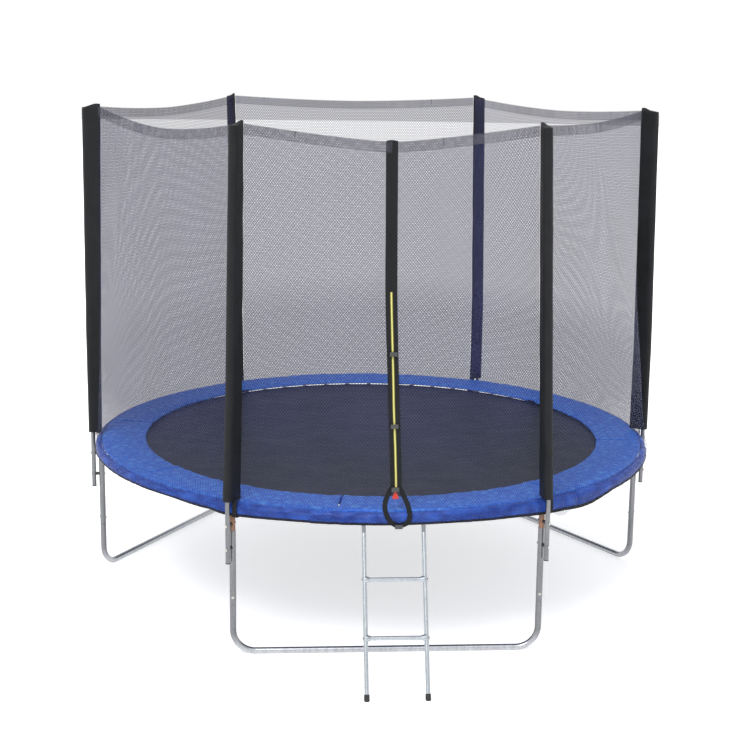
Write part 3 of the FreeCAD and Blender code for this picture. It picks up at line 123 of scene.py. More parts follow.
def between(tree, value, low, high, out_low, out_high):
    """Stretch a value from one range to another."""
    inputs = {0: value, 1: low, 2: high, 3: out_low, 4: out_high}
    return add_node(tree, "ShaderNodeMapRange", inputs).outputs[0]


def noise_at(tree, place, scale, detail=3.0, rough=0.5):
    inputs = {"Vector": place, "Scale": scale, "Detail": detail, "Roughness": rough}
    return add_node(tree, "ShaderNodeTexNoise", inputs).outputs[0]


def stretched(tree, place, scale):
    """Stretch the place differently along each axis, as brushed or rolled surfaces need."""
    return add_node(tree, "ShaderNodeMapping", {"Vector": place, "Scale": scale}).outputs[0]


print("node helpers ready")

# %% [markdown]
# ## Effects that several finishes share
# Woven cloth, crinkled film, hot-dip zinc and dust appear on more than one material, so each is built once as a
# node group with named inputs and outputs. A group is like a small machine: each material places it and turns its
# own dials. It gives out heights and masks only, and the shader stays in the material.

# %% Group helper
def new_group(name, numbers, wanted):
    """Empty node group that takes a place and some numbers, and gives out the wanted numbers."""
    group = bpy.data.node_groups.new(name, "ShaderNodeTree")
    group.interface.new_socket("Place", in_out="INPUT", socket_type="NodeSocketVector")
    for label, value in numbers.items():
        group.interface.new_socket(label, in_out="INPUT", socket_type="NodeSocketFloat").default_value = value
    for label in wanted:
        group.interface.new_socket(label, in_out="OUTPUT", socket_type="NodeSocketFloat")
    return group, group.nodes.new("NodeGroupInput").outputs, group.nodes.new("NodeGroupOutput").inputs


def use_group(tree, group, inputs):
    made = tree.nodes.new("ShaderNodeGroup")
    made.node_tree = group
    for key, value in inputs.items():
        if isinstance(value, bpy.types.NodeSocket):
            tree.links.new(value, made.inputs[key])
        else:
            made.inputs[key].default_value = value
    return made.outputs


print("group helpers ready")

# %% Woven threads
weave, given, wanted = new_group("woven threads", {"Threads per metre": 600.0}, ["Height", "Shade"])
counted = scaled(weave, given["Place"], given["Threads per metre"])
ridges = []
for axis in split_axes(weave, counted)[:2]:
    ridges.append(sum_node(weave, "ABSOLUTE", sum_node(weave, "SINE", product(weave, axis, math.pi))))
squares = add_node(weave, "ShaderNodeTexChecker", {"Vector": counted, "Scale": 1.0}).outputs["Fac"]
crossing = add_node(weave, "ShaderNodeMix", {0: squares, 2: ridges[0], 3: ridges[1]}).outputs[0]
weave.links.new(crossing, wanted["Height"])
patches = noise_at(weave, given["Place"], 7.0, 4.0)
weave.links.new(between(weave, patches, 0.3, 0.7, 0.0, 1.0), wanted["Shade"])
print("woven threads:", len(weave.nodes), "nodes")

# %% Crinkled film
crinkle, given, wanted = new_group("crinkled film", {"Folds per metre": 18.0}, ["Height", "Shade"])
place, folds = given["Place"], given["Folds per metre"]
wobble = add_node(crinkle, "ShaderNodeTexNoise", {"Vector": place, "Scale": folds, "Detail": 2.0})
pushed = scaled(crinkle, wobble.outputs[1], 0.05)
bent = add_node(crinkle, "ShaderNodeVectorMath", {0: place, 1: pushed}, operation="ADD").outputs[0]
cells = add_node(crinkle, "ShaderNodeTexVoronoi", {"Vector": bent, "Scale": folds}, feature="DISTANCE_TO_EDGE")
ridge = product(crinkle, cells.outputs[0], 2.5, clamp=True)
finer = {"Vector": bent, "Scale": product(crinkle, folds, 2.6), "Detail": 5.0, "Distortion": 0.8}
fine = add_node(crinkle, "ShaderNodeTexNoise", finer).outputs[0]
together = sum_node(crinkle, "ADD", product(crinkle, ridge, 0.45), product(crinkle, fine, 0.55))
crinkle.links.new(together, wanted["Height"])
crinkle.links.new(between(crinkle, together, 0.2, 0.8, 0.0, 1.0), wanted["Shade"])
print("crinkled film:", len(crinkle.nodes), "nodes")

# %% Hot-dip zinc
zinc, given, wanted = new_group("hot dip zinc", {"Flakes per metre": 110.0}, ["Shade", "Rough"])
flakes = add_node(zinc, "ShaderNodeTexVoronoi", {"Vector": given["Place"], "Scale": given["Flakes per metre"]})
flake_tone = add_node(zinc, "ShaderNodeSeparateColor", {0: flakes.outputs["Color"]}).outputs[0]
runs = noise_at(zinc, stretched(zinc, given["Place"], (60.0, 60.0, 6.0)), 1.0, 4.0)
scratches = noise_at(zinc, stretched(zinc, given["Place"], (700.0, 700.0, 30.0)), 1.0, 2.0)
tone = sum_node(zinc, "ADD", product(zinc, flake_tone, 0.3), product(zinc, runs, 0.7))
zinc.links.new(between(zinc, tone, 0.3, 0.75, 0.0, 1.0), wanted["Shade"])
zinc.links.new(between(zinc, scratches, 0.35, 0.7, 0.0, 1.0), wanted["Rough"])
print("hot-dip zinc:", len(zinc.nodes), "nodes")

# %% Dust and scuffs
dust, given, wanted = new_group("dust and scuffs", {"Amount": 0.4}, ["Mask"])
cloud = noise_at(dust, given["Place"], 5.0, 8.0, 0.65)
grit = noise_at(dust, given["Place"], 160.0, 2.0)
loose = sum_node(dust, "ADD", product(dust, cloud, 0.7), product(dust, grit, 0.3))
mask = between(dust, loose, 0.45, 0.7, 0.0, 1.0)
dust.links.new(product(dust, mask, given["Amount"], clamp=True), wanted["Mask"])
print("dust:", len(dust.nodes), "nodes")

# %% [markdown]
# The net's threads run in two slanting families. A family's cover falls from a thread's middle to the hole beside
# it, and the two are joined by their maximum. Threads much thinner than a pixel would flicker, so the cover is
# mixed half and half with its own mean.

# %% Knotted net
knots, given, wanted = new_group("knotted net", {"Knots per metre": 110.0, "Thread": 0.3}, ["Cover", "Height"])
axes = split_axes(knots, scaled(knots, given["Place"], given["Knots per metre"]))
flatter = product(knots, axes[1], 0.8)
rows = sum_node(knots, "COSINE", product(knots, flatter, 2 * math.pi))
thread = product(knots, given["Thread"], sum_node(knots, "ADD", 1.0, product(knots, rows, 0.08)))
covers = []
for slant in ("ADD", "SUBTRACT"):
    swing = sum_node(knots, "PINGPONG", sum_node(knots, slant, axes[0], flatter), 0.5)
    covers.append(between(knots, product(knots, swing, 2.0), thread, 0.0, 0.0, 1.0))
cover = sum_node(knots, "MAXIMUM", covers[0], covers[1])
mean = product(knots, thread, sum_node(knots, "SUBTRACT", 1.0, product(knots, thread, 0.333)))
fuzzy = add_node(knots, "ShaderNodeMix", {0: 0.5, 2: cover, 3: mean}).outputs[0]
knots.links.new(fuzzy, wanted["Cover"])
knots.links.new(sum_node(knots, "ADD", covers[0], covers[1]), wanted["Height"])
print("knotted net:", len(knots.nodes), "nodes")

# %% [markdown]
# ## Finishes
# Each finish starts from a Principled shader. Colour always varies a little over the surface, roughness follows
# dust and wear, and a Bump node turns a height into shading. Numbers that are the same everywhere are set on the
# shader itself. Patterns sit on Object coordinates, or on the cloth's own UV map, which is laid out in metres.

# %% Helper that starts a finish
def new_finish(name, roughness=0.5, metallic=0.0, specular=0.5):
    """New material with its tree, its shader and the two kinds of coordinates."""
    material = bpy.data.materials.new(name)
    material.use_nodes = True
    tree = material.node_tree
    shader = tree.nodes["Principled BSDF"]
    shader.inputs["Roughness"].default_value = roughness
    shader.inputs["Metallic"].default_value = metallic
    shader.inputs["Specular IOR Level"].default_value = specular
    coordinates = tree.nodes.new("ShaderNodeTexCoord").outputs
    return material, tree, shader.inputs, coordinates["Object"], coordinates["UV"]


def bump(tree, sockets, height, distance, strength=1.0):
    """Turn a height into shading; a second bump adds to the first."""
    inputs = {"Height": height, "Distance": distance, "Strength": strength}
    before = sockets["Normal"].links
    if before:
        inputs["Normal"] = before[0].from_socket
    made = add_node(tree, "ShaderNodeBump", inputs)
    tree.links.new(made.outputs[0], sockets["Normal"])


print("finish helpers ready")

# %% Steel finishes
def steel_finish(name, dark, light, rough_low, rough_high, flakes, painted_reflection_near_ground=1.0):
    """Zinc flakes on steel; the factor after flakes is how many times brighter the colours are painted in the
    lowest few centimetres, a painted reflection.
    """
    material, tree, sockets, here, _ = new_finish(name, metallic=1.0)
    surface = use_group(tree, zinc, {"Place": here, "Flakes per metre": flakes})
    dirt = use_group(tree, dust, {"Place": here, "Amount": 0.15})["Mask"]
    tone = blend_colours(tree, surface["Shade"], dark, light)
    if painted_reflection_near_ground != 1.0:
        # Painted reflection: below 3 cm the zinc takes the brighter colours, fading back to its own colours by 11
        # cm.
        height = split_axes(tree, here)[2]
        tints = [tuple(painted_reflection_near_ground * c for c in tint) for tint in (dark, light)]
        painted_reflection_tone = blend_colours(tree, surface["Shade"], *tints)
        tone = blend_colours(tree, between(tree, height, 0.030, 0.110, 1.0, 0.0), tone, painted_reflection_tone)
    tree.links.new(blend_colours(tree, dirt, tone, (0.30, 0.28, 0.25)), sockets["Base Color"])
    rough = between(tree, surface["Rough"], 0.0, 1.0, rough_low, rough_high)
    tree.links.new(sum_node(tree, "ADD", rough, product(tree, dirt, 0.3), clamp=True), sockets["Roughness"])
    bump(tree, sockets, surface["Shade"], 0.0002, 0.5)
    return material


ZINC_TONES = ((0.175, 0.180, 0.190), (0.265, 0.272, 0.285), 0.28, 0.40, 260.0)
galvanised = steel_finish("galvanised_tube", *ZINC_TONES)
# The base's zinc is the same zinc with a painted reflection near the ground.
galvanised_base = steel_finish("galvanised_base", *ZINC_TONES, painted_reflection_near_ground=2.2)
ladder_steel = steel_finish("ladder_tube", (0.38, 0.42, 0.46), (0.54, 0.575, 0.61), 0.24, 0.34, 320.0)
fastener_zinc = steel_finish("zinc_fastener", (0.42, 0.42, 0.40), (0.68, 0.67, 0.62), 0.22, 0.38, 400.0)
spring_steel = steel_finish("spring_wire", (0.45, 0.45, 0.46), (0.75, 0.75, 0.76), 0.20, 0.34, 500.0)
dark_zinc = steel_finish("dark_zinc", (0.09, 0.09, 0.09), (0.20, 0.20, 0.19), 0.35, 0.55, 400.0)
print("steel finishes ready")

# %% Primer on the welded stubs
welded_stub, tree, sockets, here, _ = new_finish("welded_stub", 0.7)
patches = noise_at(tree, here, 45.0, 6.0, 0.6)
wear_and_painted_light = between(tree, patches, 0.35, 0.65, 0.0, 1.0)
primer = blend_colours(tree, wear_and_painted_light, (0.30, 0.13, 0.07), (0.42, 0.24, 0.15))
bare = between(tree, noise_at(tree, here, 90.0, 4.0), 0.55, 0.68, 0.0, 0.8)
tree.links.new(blend_colours(tree, bare, primer, (0.34, 0.33, 0.32)), sockets["Base Color"])
tree.links.new(bare, sockets["Metallic"])
tree.links.new(between(tree, patches, 0.3, 0.7, 0.5, 0.85), sockets["Roughness"])
bump(tree, sockets, patches, 0.0006, 0.6)

# %% Rubber, plastic and foam
def moulded_finish(name, dark, light, rough, grain, depth):
    material, tree, sockets, here, _ = new_finish(name, rough)
    tone = noise_at(tree, here, grain * 0.2, 4.0)
    dirt = use_group(tree, dust, {"Place": here, "Amount": 0.3})["Mask"]
    colour = blend_colours(tree, between(tree, tone, 0.3, 0.7, 0.0, 1.0), dark, light)
    pale = tuple(min(1.0, 1.6 * c + 0.02) for c in light)
    tree.links.new(blend_colours(tree, dirt, colour, pale), sockets["Base Color"])
    tree.links.new(between(tree, dirt, 0.0, 0.4, rough, min(1.0, rough + 0.25)), sockets["Roughness"])
    bump(tree, sockets, noise_at(tree, here, grain, 2.0), depth, 0.5)
    return material


MOULDED = {
    "black_plastic": ((0.016, 0.017, 0.018), (0.030, 0.031, 0.033), 0.42, 900.0, 0.0003),
    "black_rubber": ((0.012, 0.012, 0.013), (0.026, 0.026, 0.027), 0.62, 500.0, 0.0004),
    "clip_plastic": ((0.050, 0.052, 0.055), (0.075, 0.077, 0.080), 0.38, 900.0, 0.0002),
    "red_plastic": ((0.50, 0.030, 0.018), (0.66, 0.055, 0.035), 0.35, 700.0, 0.0002),
    "grey_foam": ((0.10, 0.10, 0.105), (0.17, 0.17, 0.175), 0.85, 700.0, 0.0012),
}
moulded = {name: moulded_finish(name, *values) for name, values in MOULDED.items()}
print("moulded finishes ready")

# %% Blue cover of the pad
def cover_finish(name, deep, pale, folds, depth, rough, gather=(1.0, 1.0, 1.0)):
    """Coated cloth with crinkles; gather squeezes them together along an axis. Its colour is painted pale where the
    broad crinkles stand high and deep where they sink: painted highlights and painted shade.
    """
    material, tree, sockets, here, flat = new_finish(name, rough, specular=0.35)
    place = stretched(tree, flat if gather != (1.0, 1.0, 1.0) else here, gather)
    broad = use_group(tree, crinkle, {"Place": place, "Folds per metre": folds})
    small = use_group(tree, crinkle, {"Place": place, "Folds per metre": folds * 3.1})
    threads = use_group(tree, weave, {"Place": place, "Threads per metre": 420.0})
    # Painted highlight and shade: the colour follows the broad crinkles' height, pale on the ridges and deep in the
    # folds.
    wear_and_painted_light = blend_colours(tree, broad["Shade"], deep, pale)
    dirt = use_group(tree, dust, {"Place": here, "Amount": 0.08})["Mask"]
    tree.links.new(blend_colours(tree, dirt, wear_and_painted_light, (0.25, 0.36, 0.72)), sockets["Base Color"])
    tree.links.new(between(tree, small["Shade"], 0.0, 1.0, rough - 0.08, rough + 0.12), sockets["Roughness"])
    bump(tree, sockets, broad["Height"], depth, 0.8)
    bump(tree, sockets, small["Height"], depth * 0.35, 0.6)
    bump(tree, sockets, threads["Height"], 0.0002, 0.35)
    return material


cover_top = cover_finish("blue_cover_top", (0.026, 0.130, 0.74), (0.105, 0.340, 1.0), 20.0, 0.011, 0.40)
GATHERED = (0.8, 1.4, 1.0)
# A darker copy of the same cover for the hanging skirt: painted shade on the upright cloth.
shaded_cover_drop = cover_finish("blue_cover_drop", (0.010, 0.050, 0.36), (0.050, 0.180, 0.84), 9.0, 0.011, 0.36, GATHERED)
print("blue cover ready")

# %% Woven finishes
def woven_finish(name, dark, light, threads, depth, rough, on_map=True, gap=0.55):
    """Cloth of crossing threads; gap is how dark the cloth is painted between them, a painted shade in the weave's
    hollows.
    """
    material, tree, sockets, here, flat = new_finish(name, rough, specular=0.2)
    cloth = use_group(tree, weave, {"Place": flat if on_map else here, "Threads per metre": threads})
    tone = blend_colours(tree, cloth["Shade"], dark, light)
    # Painted shade: where the threads sink, the colour falls to gap times the dark tone.
    hollow_shade = tuple(gap * c for c in dark)
    raised = between(tree, cloth["Height"], 0.0, 0.7, 0.0, 1.0)
    tree.links.new(blend_colours(tree, raised, hollow_shade, tone), sockets["Base Color"])
    tree.links.new(between(tree, cloth["Shade"], 0.0, 1.0, rough - 0.08, rough + 0.08), sockets["Roughness"])
    bump(tree, sockets, cloth["Height"], depth, 0.7)
    return material


black_sleeve = woven_finish("black_fabric", (0.012, 0.0125, 0.014), (0.023, 0.0245, 0.028), 700.0, 0.0005, 0.55)
black_webbing = woven_finish("black_webbing", (0.012, 0.013, 0.014), (0.024, 0.025, 0.027), 480.0, 0.0008, 0.6)
black_hem = woven_finish("black_hem", (0.008, 0.009, 0.012), (0.018, 0.019, 0.024), 520.0, 0.0006, 0.55)
MAT_TONES = ((0.036, 0.042, 0.057), (0.044, 0.052, 0.070))
mat_cloth = woven_finish("mat_cloth", *MAT_TONES, 420.0, 0.00015, 0.5, on_map=False, gap=0.85)
strip_cloth = woven_finish("strip_cloth", (0.009, 0.010, 0.012), (0.017, 0.018, 0.021), 560.0, 0.0005, 0.58)
print("woven finishes ready")

# %% Net
def net_finish(name, low_thread, high_thread, bend, colour, gathers=0.0):
    """Threads are solid and the holes are open; the threads' share changes with the height about the bend."""
    material, tree, sockets, _, flat = new_finish(name, 0.6, specular=0.12)
    level = split_axes(tree, flat)[1]
    thread = between(tree, level, bend - 0.12, bend + 0.12, low_thread, high_thread)
    mesh = use_group(tree, knots, {"Place": flat, "Knots per metre": 68.0, "Thread": thread})
    fuzz = noise_at(tree, flat, 3.0, 3.0)
    faded = tuple(1.35 * c for c in colour)
    wear_and_painted_light = blend_colours(tree, between(tree, fuzz, 0.35, 0.65, 0.0, 1.0), colour, faded)
    folds = noise_at(tree, stretched(tree, flat, (70.0, 3.0, 1.0)), 1.0, 2.0)
    stitches = between(tree, level, 0.002, 0.005, 0.5 * gathers, 0.0)
    shaded = sum_node(tree, "MAXIMUM", between(tree, folds, 0.60, 0.70, 0.0, gathers), stitches)
    tree.links.new(blend_colours(tree, shaded, wear_and_painted_light, tuple(0.25 * c for c in colour)), sockets["Base Color"])
    tree.links.new(sum_node(tree, "MAXIMUM", mesh["Cover"], shaded), sockets["Alpha"])
    bump(tree, sockets, mesh["Height"], 0.0006, 0.6)
    return material


NET_GREY, NET_SHADE = (0.028, 0.031, 0.078), (0.030, 0.032, 0.085)
net_cloth = net_finish("grey_net", 0.90, 0.69, 0.60, NET_SHADE)
net_side_cloth = net_finish("grey_net_side", 0.94, 0.84, 0.60, NET_SHADE)
net_front_cloth = net_finish("grey_net_front", 0.29, 0.63, 0.36, NET_GREY)
net_corner_cloth = net_finish("grey_net_corner", 0.32, 0.68, 0.30, NET_GREY)
net_hem_cloth = net_finish("net_hem", 0.66, 0.66, 0.0, (0.105, 0.102, 0.130), 0.80)
net_back_hem_cloth = net_finish("net_hem_back", 0.42, 0.42, 0.0, (0.130, 0.115, 0.140), 0.70)
print("net finishes ready")

# %% Zip
zip_yellow, tree, sockets, here, flat = new_finish("yellow_zip", 0.45)
row = {"Vector": flat, "Scale": 75.0, "Distortion": 0.0}
teeth = add_node(tree, "ShaderNodeTexWave", row, bands_direction="Y").outputs["Fac"]
tree.links.new(blend_colours(tree, teeth, (0.72, 0.66, 0.16), (0.95, 0.93, 0.36)), sockets["Base Color"])
bump(tree, sockets, teeth, 0.0012, 0.8)
zip_edge = woven_finish("zip_edge", (0.18, 0.17, 0.03), (0.30, 0.28, 0.06), 900.0, 0.0003, 0.65)
print("zip finishes ready")

# %% [markdown]
# ## Floor and light
# The photograph is a cut-out on white. The floor is a plain pale disc that still takes the object's shadow: for
# the camera it glows a little, so that only the shadow stays darker than white. The world gives soft light from
# all round, and one broad sun adds a direction.

# %% Floor
bpy.ops.object.select_all(action="DESELECT")
bpy.ops.mesh.primitive_circle_add(vertices=96, radius=40, fill_type="NGON", location=(0, 0, -0.0005))
floor = bpy.context.object
floor.name = "studio_floor"
paper, tree, sockets, here, _ = new_finish("pale_floor", 0.9, specular=0.1)
fibre = noise_at(tree, here, 3.0, 5.0)
tree.links.new(blend_colours(tree, fibre, (0.80, 0.80, 0.80), (0.84, 0.84, 0.84)), sockets["Base Color"])
rays = tree.nodes.new("ShaderNodeLightPath").outputs
seen = sum_node(tree, "MAXIMUM", rays["Is Camera Ray"], rays["Is Transmission Ray"])
glow = product(tree, sum_node(tree, "MAXIMUM", seen, rays["Is Glossy Ray"]), 0.60)
sockets["Emission Color"].default_value = (1, 1, 1, 1)
tree.links.new(glow, sockets["Emission Strength"])
floor.data.materials.append(paper)

# %% World and sun
world = bpy.data.worlds.new("studio")
bpy.context.scene.world = world
world.use_nodes = True
tree = world.node_tree
tree.nodes.clear()
rays = tree.nodes.new("ShaderNodeLightPath").outputs
seen = sum_node(tree, "MAXIMUM", rays["Is Camera Ray"], rays["Is Transmission Ray"])
seen = sum_node(tree, "MAXIMUM", seen, rays["Is Glossy Ray"])
light = add_node(tree, "ShaderNodeBackground", {"Color": (1.0, 1.0, 1.0, 1.0), "Strength": 0.80})
white = add_node(tree, "ShaderNodeBackground", {"Color": (1.0, 1.0, 1.0, 1.0), "Strength": 1.0})
choice = add_node(tree, "ShaderNodeMixShader", {0: seen, 1: light.outputs[0], 2: white.outputs[0]})
tree.links.new(choice.outputs[0], tree.nodes.new("ShaderNodeOutputWorld").inputs[0])
bpy.ops.object.light_add(type="SUN", location=(-3, -5, 8), rotation=(math.radians(38), 0, math.radians(-28)))
sun = bpy.context.object
sun.data.energy = 1.6
sun.data.angle = math.radians(25)
print("floor, world and sun ready")

# %% [markdown]
# ## Shaping helpers
# Most soft pieces start as Blender's own grid, a flat square of cloth that already carries a UV map. A rule then
# says where each point (u, v) of that square goes, the way a tailor lays a cut over a form. The UV map is
# stretched to the cloth's real size, so that threads keep their real spacing.

# %% Helpers for shapes
def deselect():
    if bpy.context.object and bpy.context.object.mode != "OBJECT":
        bpy.ops.object.mode_set(mode="OBJECT")
    bpy.ops.object.select_all(action="DESELECT")


def pick(piece):
    """Make one piece the only selected and active one."""
    deselect()
    piece.select_set(True)
    bpy.context.view_layer.objects.active = piece


def cloth_square(name, columns, rows):
    deselect()
    bpy.ops.mesh.primitive_grid_add(x_subdivisions=columns, y_subdivisions=rows, size=1)
    piece = bpy.context.object
    piece.name = name
    piece.data.name = name
    return piece


def lay(piece, rule, size=None):
    """Lay a square by a rule, and give its UV map the cloth's size in metres."""
    for corner in piece.data.vertices:
        corner.co = rule(corner.co.x + 0.5, corner.co.y + 0.5)
    if size:
        for loop in piece.data.uv_layers.active.data:
            loop.uv = (loop.uv.x * size[0], loop.uv.y * size[1])
    piece.data.update()
    return piece


def apply_modifier(piece, kind, **settings):
    """Add a modifier, set it and apply it at once."""
    pick(piece)
    made = piece.modifiers.new(kind.lower(), kind)
    for name, value in settings.items():
        setattr(made, name, value)
    bpy.ops.object.modifier_apply(modifier=made.name)


def join(pieces, into):
    """Join pieces into one of them."""
    deselect()
    for made in pieces:
        made.select_set(True)
    bpy.context.view_layer.objects.active = into
    bpy.ops.object.join()
    return into


def close_up(piece, turn_out=True):
    """Merge doubled corners and turn all faces outwards."""
    pick(piece)
    bpy.ops.object.mode_set(mode="EDIT")
    bpy.ops.mesh.select_all(action="SELECT")
    bpy.ops.mesh.remove_doubles(threshold=0.00005)
    if turn_out:
        bpy.ops.mesh.normals_make_consistent(inside=False)
    bpy.ops.object.mode_set(mode="OBJECT")


def face_away(piece, centre=Vector((0, 0, 0))):
    """Turn a sheet so that it faces away from the upright axis through a point."""
    faces = piece.data.polygons
    outward = sum(face.area * face.normal.dot(Vector((*(face.center - centre).xy, 0))) for face in faces)
    if outward < 0:
        pick(piece)
        bpy.ops.object.mode_set(mode="EDIT")
        bpy.ops.mesh.select_all(action="SELECT")
        bpy.ops.mesh.flip_normals()
        bpy.ops.object.mode_set(mode="OBJECT")


def smooth(piece, angle=60):
    pick(piece)
    bpy.ops.object.shade_smooth_by_angle(angle=math.radians(angle))


def dress(piece, material, slot, body="frame", nodes=()):
    """Give a piece its finish and its body, and hide the plain solids that it stands for; slot is not used."""
    piece.data.materials.clear()
    piece.data.materials.append(material)
    if body:
        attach(piece, body)
    if nodes:
        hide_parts(*nodes)
    return piece


def round_frame(radius, angle, height):
    """Point on a circle about the trampoline's axis; the angle is counted from the front."""
    turn = math.radians(angle)
    return Vector((radius * math.sin(turn), -radius * math.cos(turn), height))


def ripple(x, y, z=0.0):
    return noise.noise(Vector((x, y, z)))


print("shaping helpers ready")

# %% [markdown]
# ## Where the poles and the net are
# Six poles stand outside the frame and are pulled inwards by the net, each a little differently. Net, sleeves and
# hems all follow them, so one function gives a pole's axis at a height and another the net's arc between two
# poles. The numbers are the same as in the frame's own source.

# %% Poles
POLES = {
    "front_left": (-30, 0.041, 0.010, 0.40),
    "front_right": (30, -0.0635, 0.010, 0.31),
    "right": (90, -0.022, 0.0, 0.0),
    "back_right": (150, -0.026, -0.015, 0.0),
    "back_left": (-150, -0.029, -0.010, 0.0),
    "left": (-90, 0.010, 0.0, 0.0),
}
TAILS_OF_SLEEVES = {
    "front_left": (0.082, 0.060, -12.5),
    "front_right": (0.082, 0.065, -11.6),
    "right": (0.072, 0.068, -22.0),
    "back_right": (0.072, 0.069, -15.6),
    "back_left": (0.082, 0.050, -1.0),
    "left": (0.052, 0.079, -23.0),
}
POLE_CIRCLE, LEAN_START, POLE_JOINT, POLE_TOP = 1.559, 0.780, 1.300, 2.580
SLEEVE_FOOT, SLEEVE_TOP, SLEEVE_ROUND, SLEEVE_TAIL = 0.798, 2.600, 0.025, 0.006


def pole_axis(name, height):
    """Point of a pole: upright up to the rim, then straight to its joint and on to its top."""
    angle, pull_x, pull_y, low = POLES[name]
    if height <= POLE_JOINT:
        share = low * max(height - LEAN_START, 0.0) / (POLE_JOINT - LEAN_START)
    else:
        share = low + (1 - low) * (height - POLE_JOINT) / (POLE_TOP - POLE_JOINT)
    return round_frame(POLE_CIRCLE, angle, height) + Vector((pull_x, pull_y, 0)) * share


def sleeve_depth(name, height):
    foot, top, _ = TAILS_OF_SLEEVES[name]
    return foot + (top - foot) * (height - SLEEVE_FOOT) / (SLEEVE_TOP - SLEEVE_FOOT)


def sleeve_turn(name):
    """Angle about the upright axis to which the net turns a sleeve."""
    return math.radians(POLES[name][0] + TAILS_OF_SLEEVES[name][2])


print("pole tops:", {name: tuple(round(x, 3) for x in pole_axis(name, POLE_TOP)) for name in POLES})

# %% Net arcs
NET_FOOT, NET_RISE, NET_BOTTOM, NET_RADIUS = 0.797, 0.860, 0.720, 1.5435
PANELS = {
    "net_panel_front_right": (60, "front_right", "right", 2.572),
    "net_panel_back_right": (120, "right", "back_right", 2.559),
    "net_panel_back": (180, "back_right", "back_left", 2.570),
    "net_panel_back_left": (-120, "back_left", "left", 2.560),
    "net_panel_front_left": (-60, "left", "front_left", 2.530),
}


def net_edge(pole, middle, side, height):
    """Where the net meets a sleeve, in the panel's own frame, whose middle looks towards -Y."""
    depth, gap = sleeve_depth(pole, height), 0.0012
    slope = math.asin((SLEEVE_ROUND - SLEEVE_TAIL) / depth)
    turn = math.radians(TAILS_OF_SLEEVES[pole][2])
    sideways = side * math.sin(turn)
    rim = POLE_CIRCLE - NET_RADIUS + sideways * (SLEEVE_ROUND / math.cos(slope) + gap)
    first = rim / (math.cos(turn) + sideways * math.tan(slope))
    share = min((height - NET_FOOT) / (NET_RISE - NET_FOOT), 1.0)
    inset = first + share * (depth - first)
    aside = (SLEEVE_ROUND - inset * math.sin(slope)) / math.cos(slope) + gap
    beside = Matrix.Rotation(sleeve_turn(pole), 3, "Z") @ Vector((-side * aside, inset, 0))
    return (Matrix.Rotation(math.radians(-middle), 3, "Z") @ (pole_axis(pole, height) + beside)).xy


def net_arc(middle, left, right, height):
    """Centre, radius and the two end angles of the net's arc at a height."""
    foot_level = max(height, NET_FOOT)
    first = net_edge(left, middle, -1, foot_level)
    last = net_edge(right, middle, 1, foot_level)
    top_first, top_last = net_edge(left, middle, -1, SLEEVE_TOP), net_edge(right, middle, 1, SLEEVE_TOP)
    share = (foot_level - NET_FOOT) / (SLEEVE_TOP - NET_FOOT)
    top_middle = (top_first + top_last) / 2 + Vector((0, -0.006))
    bulge = Vector((top_middle.x * share, -NET_RADIUS + share * (top_middle.y + NET_RADIUS)))
    ax, ay, bx, by, cx, cy = *first, *bulge, *last
    d = 2 * (ax * (by - cy) + bx * (cy - ay) + cx * (ay - by))
    a2, b2, c2 = ax * ax + ay * ay, bx * bx + by * by, cx * cx + cy * cy
    across = (a2 * (by - cy) + b2 * (cy - ay) + c2 * (ay - by)) / d
    inward = (a2 * (cx - bx) + b2 * (ax - cx) + c2 * (bx - ax)) / d
    centre = Vector((across, inward))
    radius = (bulge - centre).length
    ends = [math.atan2(p.y - centre.y, p.x - centre.x) for p in (first, last)]
    return centre, radius, ends


def net_point(panel, u, height, out=0.0):
    """Point of the net at a share u from its left to its right pole."""
    middle, left, right, _ = panel
    centre, radius, (start, end) = net_arc(middle, left, right, height)
    turn = start + u * (end - start)
    far = radius + out
    flat = Vector((centre.x + far * math.cos(turn), centre.y + far * math.sin(turn), height))
    return Matrix.Rotation(math.radians(middle), 3, "Z") @ flat


def top_edge(panel, u):
    """Height of the top hem, which hangs nearly straight from the poles towards its lowest point."""
    return 2.597 - (2.597 - panel[3]) * (1 - abs(2 * u - 1) ** (1.3 if panel[0] == 0 else 1.7))


DROP_LEVELS = (
    (-90, 0.742), (-69, 0.750), (-45, 0.750), (-35, 0.736), (-31, 0.722), (-16, 0.731), (10, 0.733), (20, 0.726),
    (33, 0.713), (40, 0.704), (52, 0.736), (75, 0.745), (110, 0.738), (180, 0.745), (250, 0.738), (270, 0.742),
)


def drop_level(angle):
    """Height of the pad skirt's lower edge at an angle from the front."""
    angle = (angle + 90) % 360 - 90
    for (a, low), (b, high) in zip(DROP_LEVELS, DROP_LEVELS[1:]):
        if a <= angle <= b:
            share = (angle - a) / (b - a)
            return low + (high - low) * (3 * share**2 - 2 * share**3)
    return 0.742


def net_bottom(angle):
    """Height of the net's loose lower edge: level with the skirt's hem, below it beside one pole."""
    bulge = max(0.0, 1 - ((angle - 33.3) / 2.8) ** 2)
    return max(NET_BOTTOM, drop_level(angle) + 0.004) - 0.030 * bulge


back_middle = net_point(PANELS["net_panel_back"], 0.5, 1.0)
print("middle of the back net:", tuple(round(x, 3) for x in back_middle))

# %% [markdown]
# ## The safety net
# The net is knitted from thin grey threads with holes of about a centimetre, hung between the sleeves. Its top is
# folded into a hem that sags between two poles, and its lower edge hangs over the pad's rim. Each panel is one
# sheet of cloth laid by a rule, with slow waves in it, and the holes are cut by the material's Alpha.

# %% Net panels
NET_CLOTHS = {60: net_front_cloth, -60: net_corner_cloth, 180: net_cloth, 120: net_cloth, -120: net_side_cloth}
HEM_HEIGHT, HEM_OUT, HEM_PUCKER = 0.050, 0.0035, 0.0022


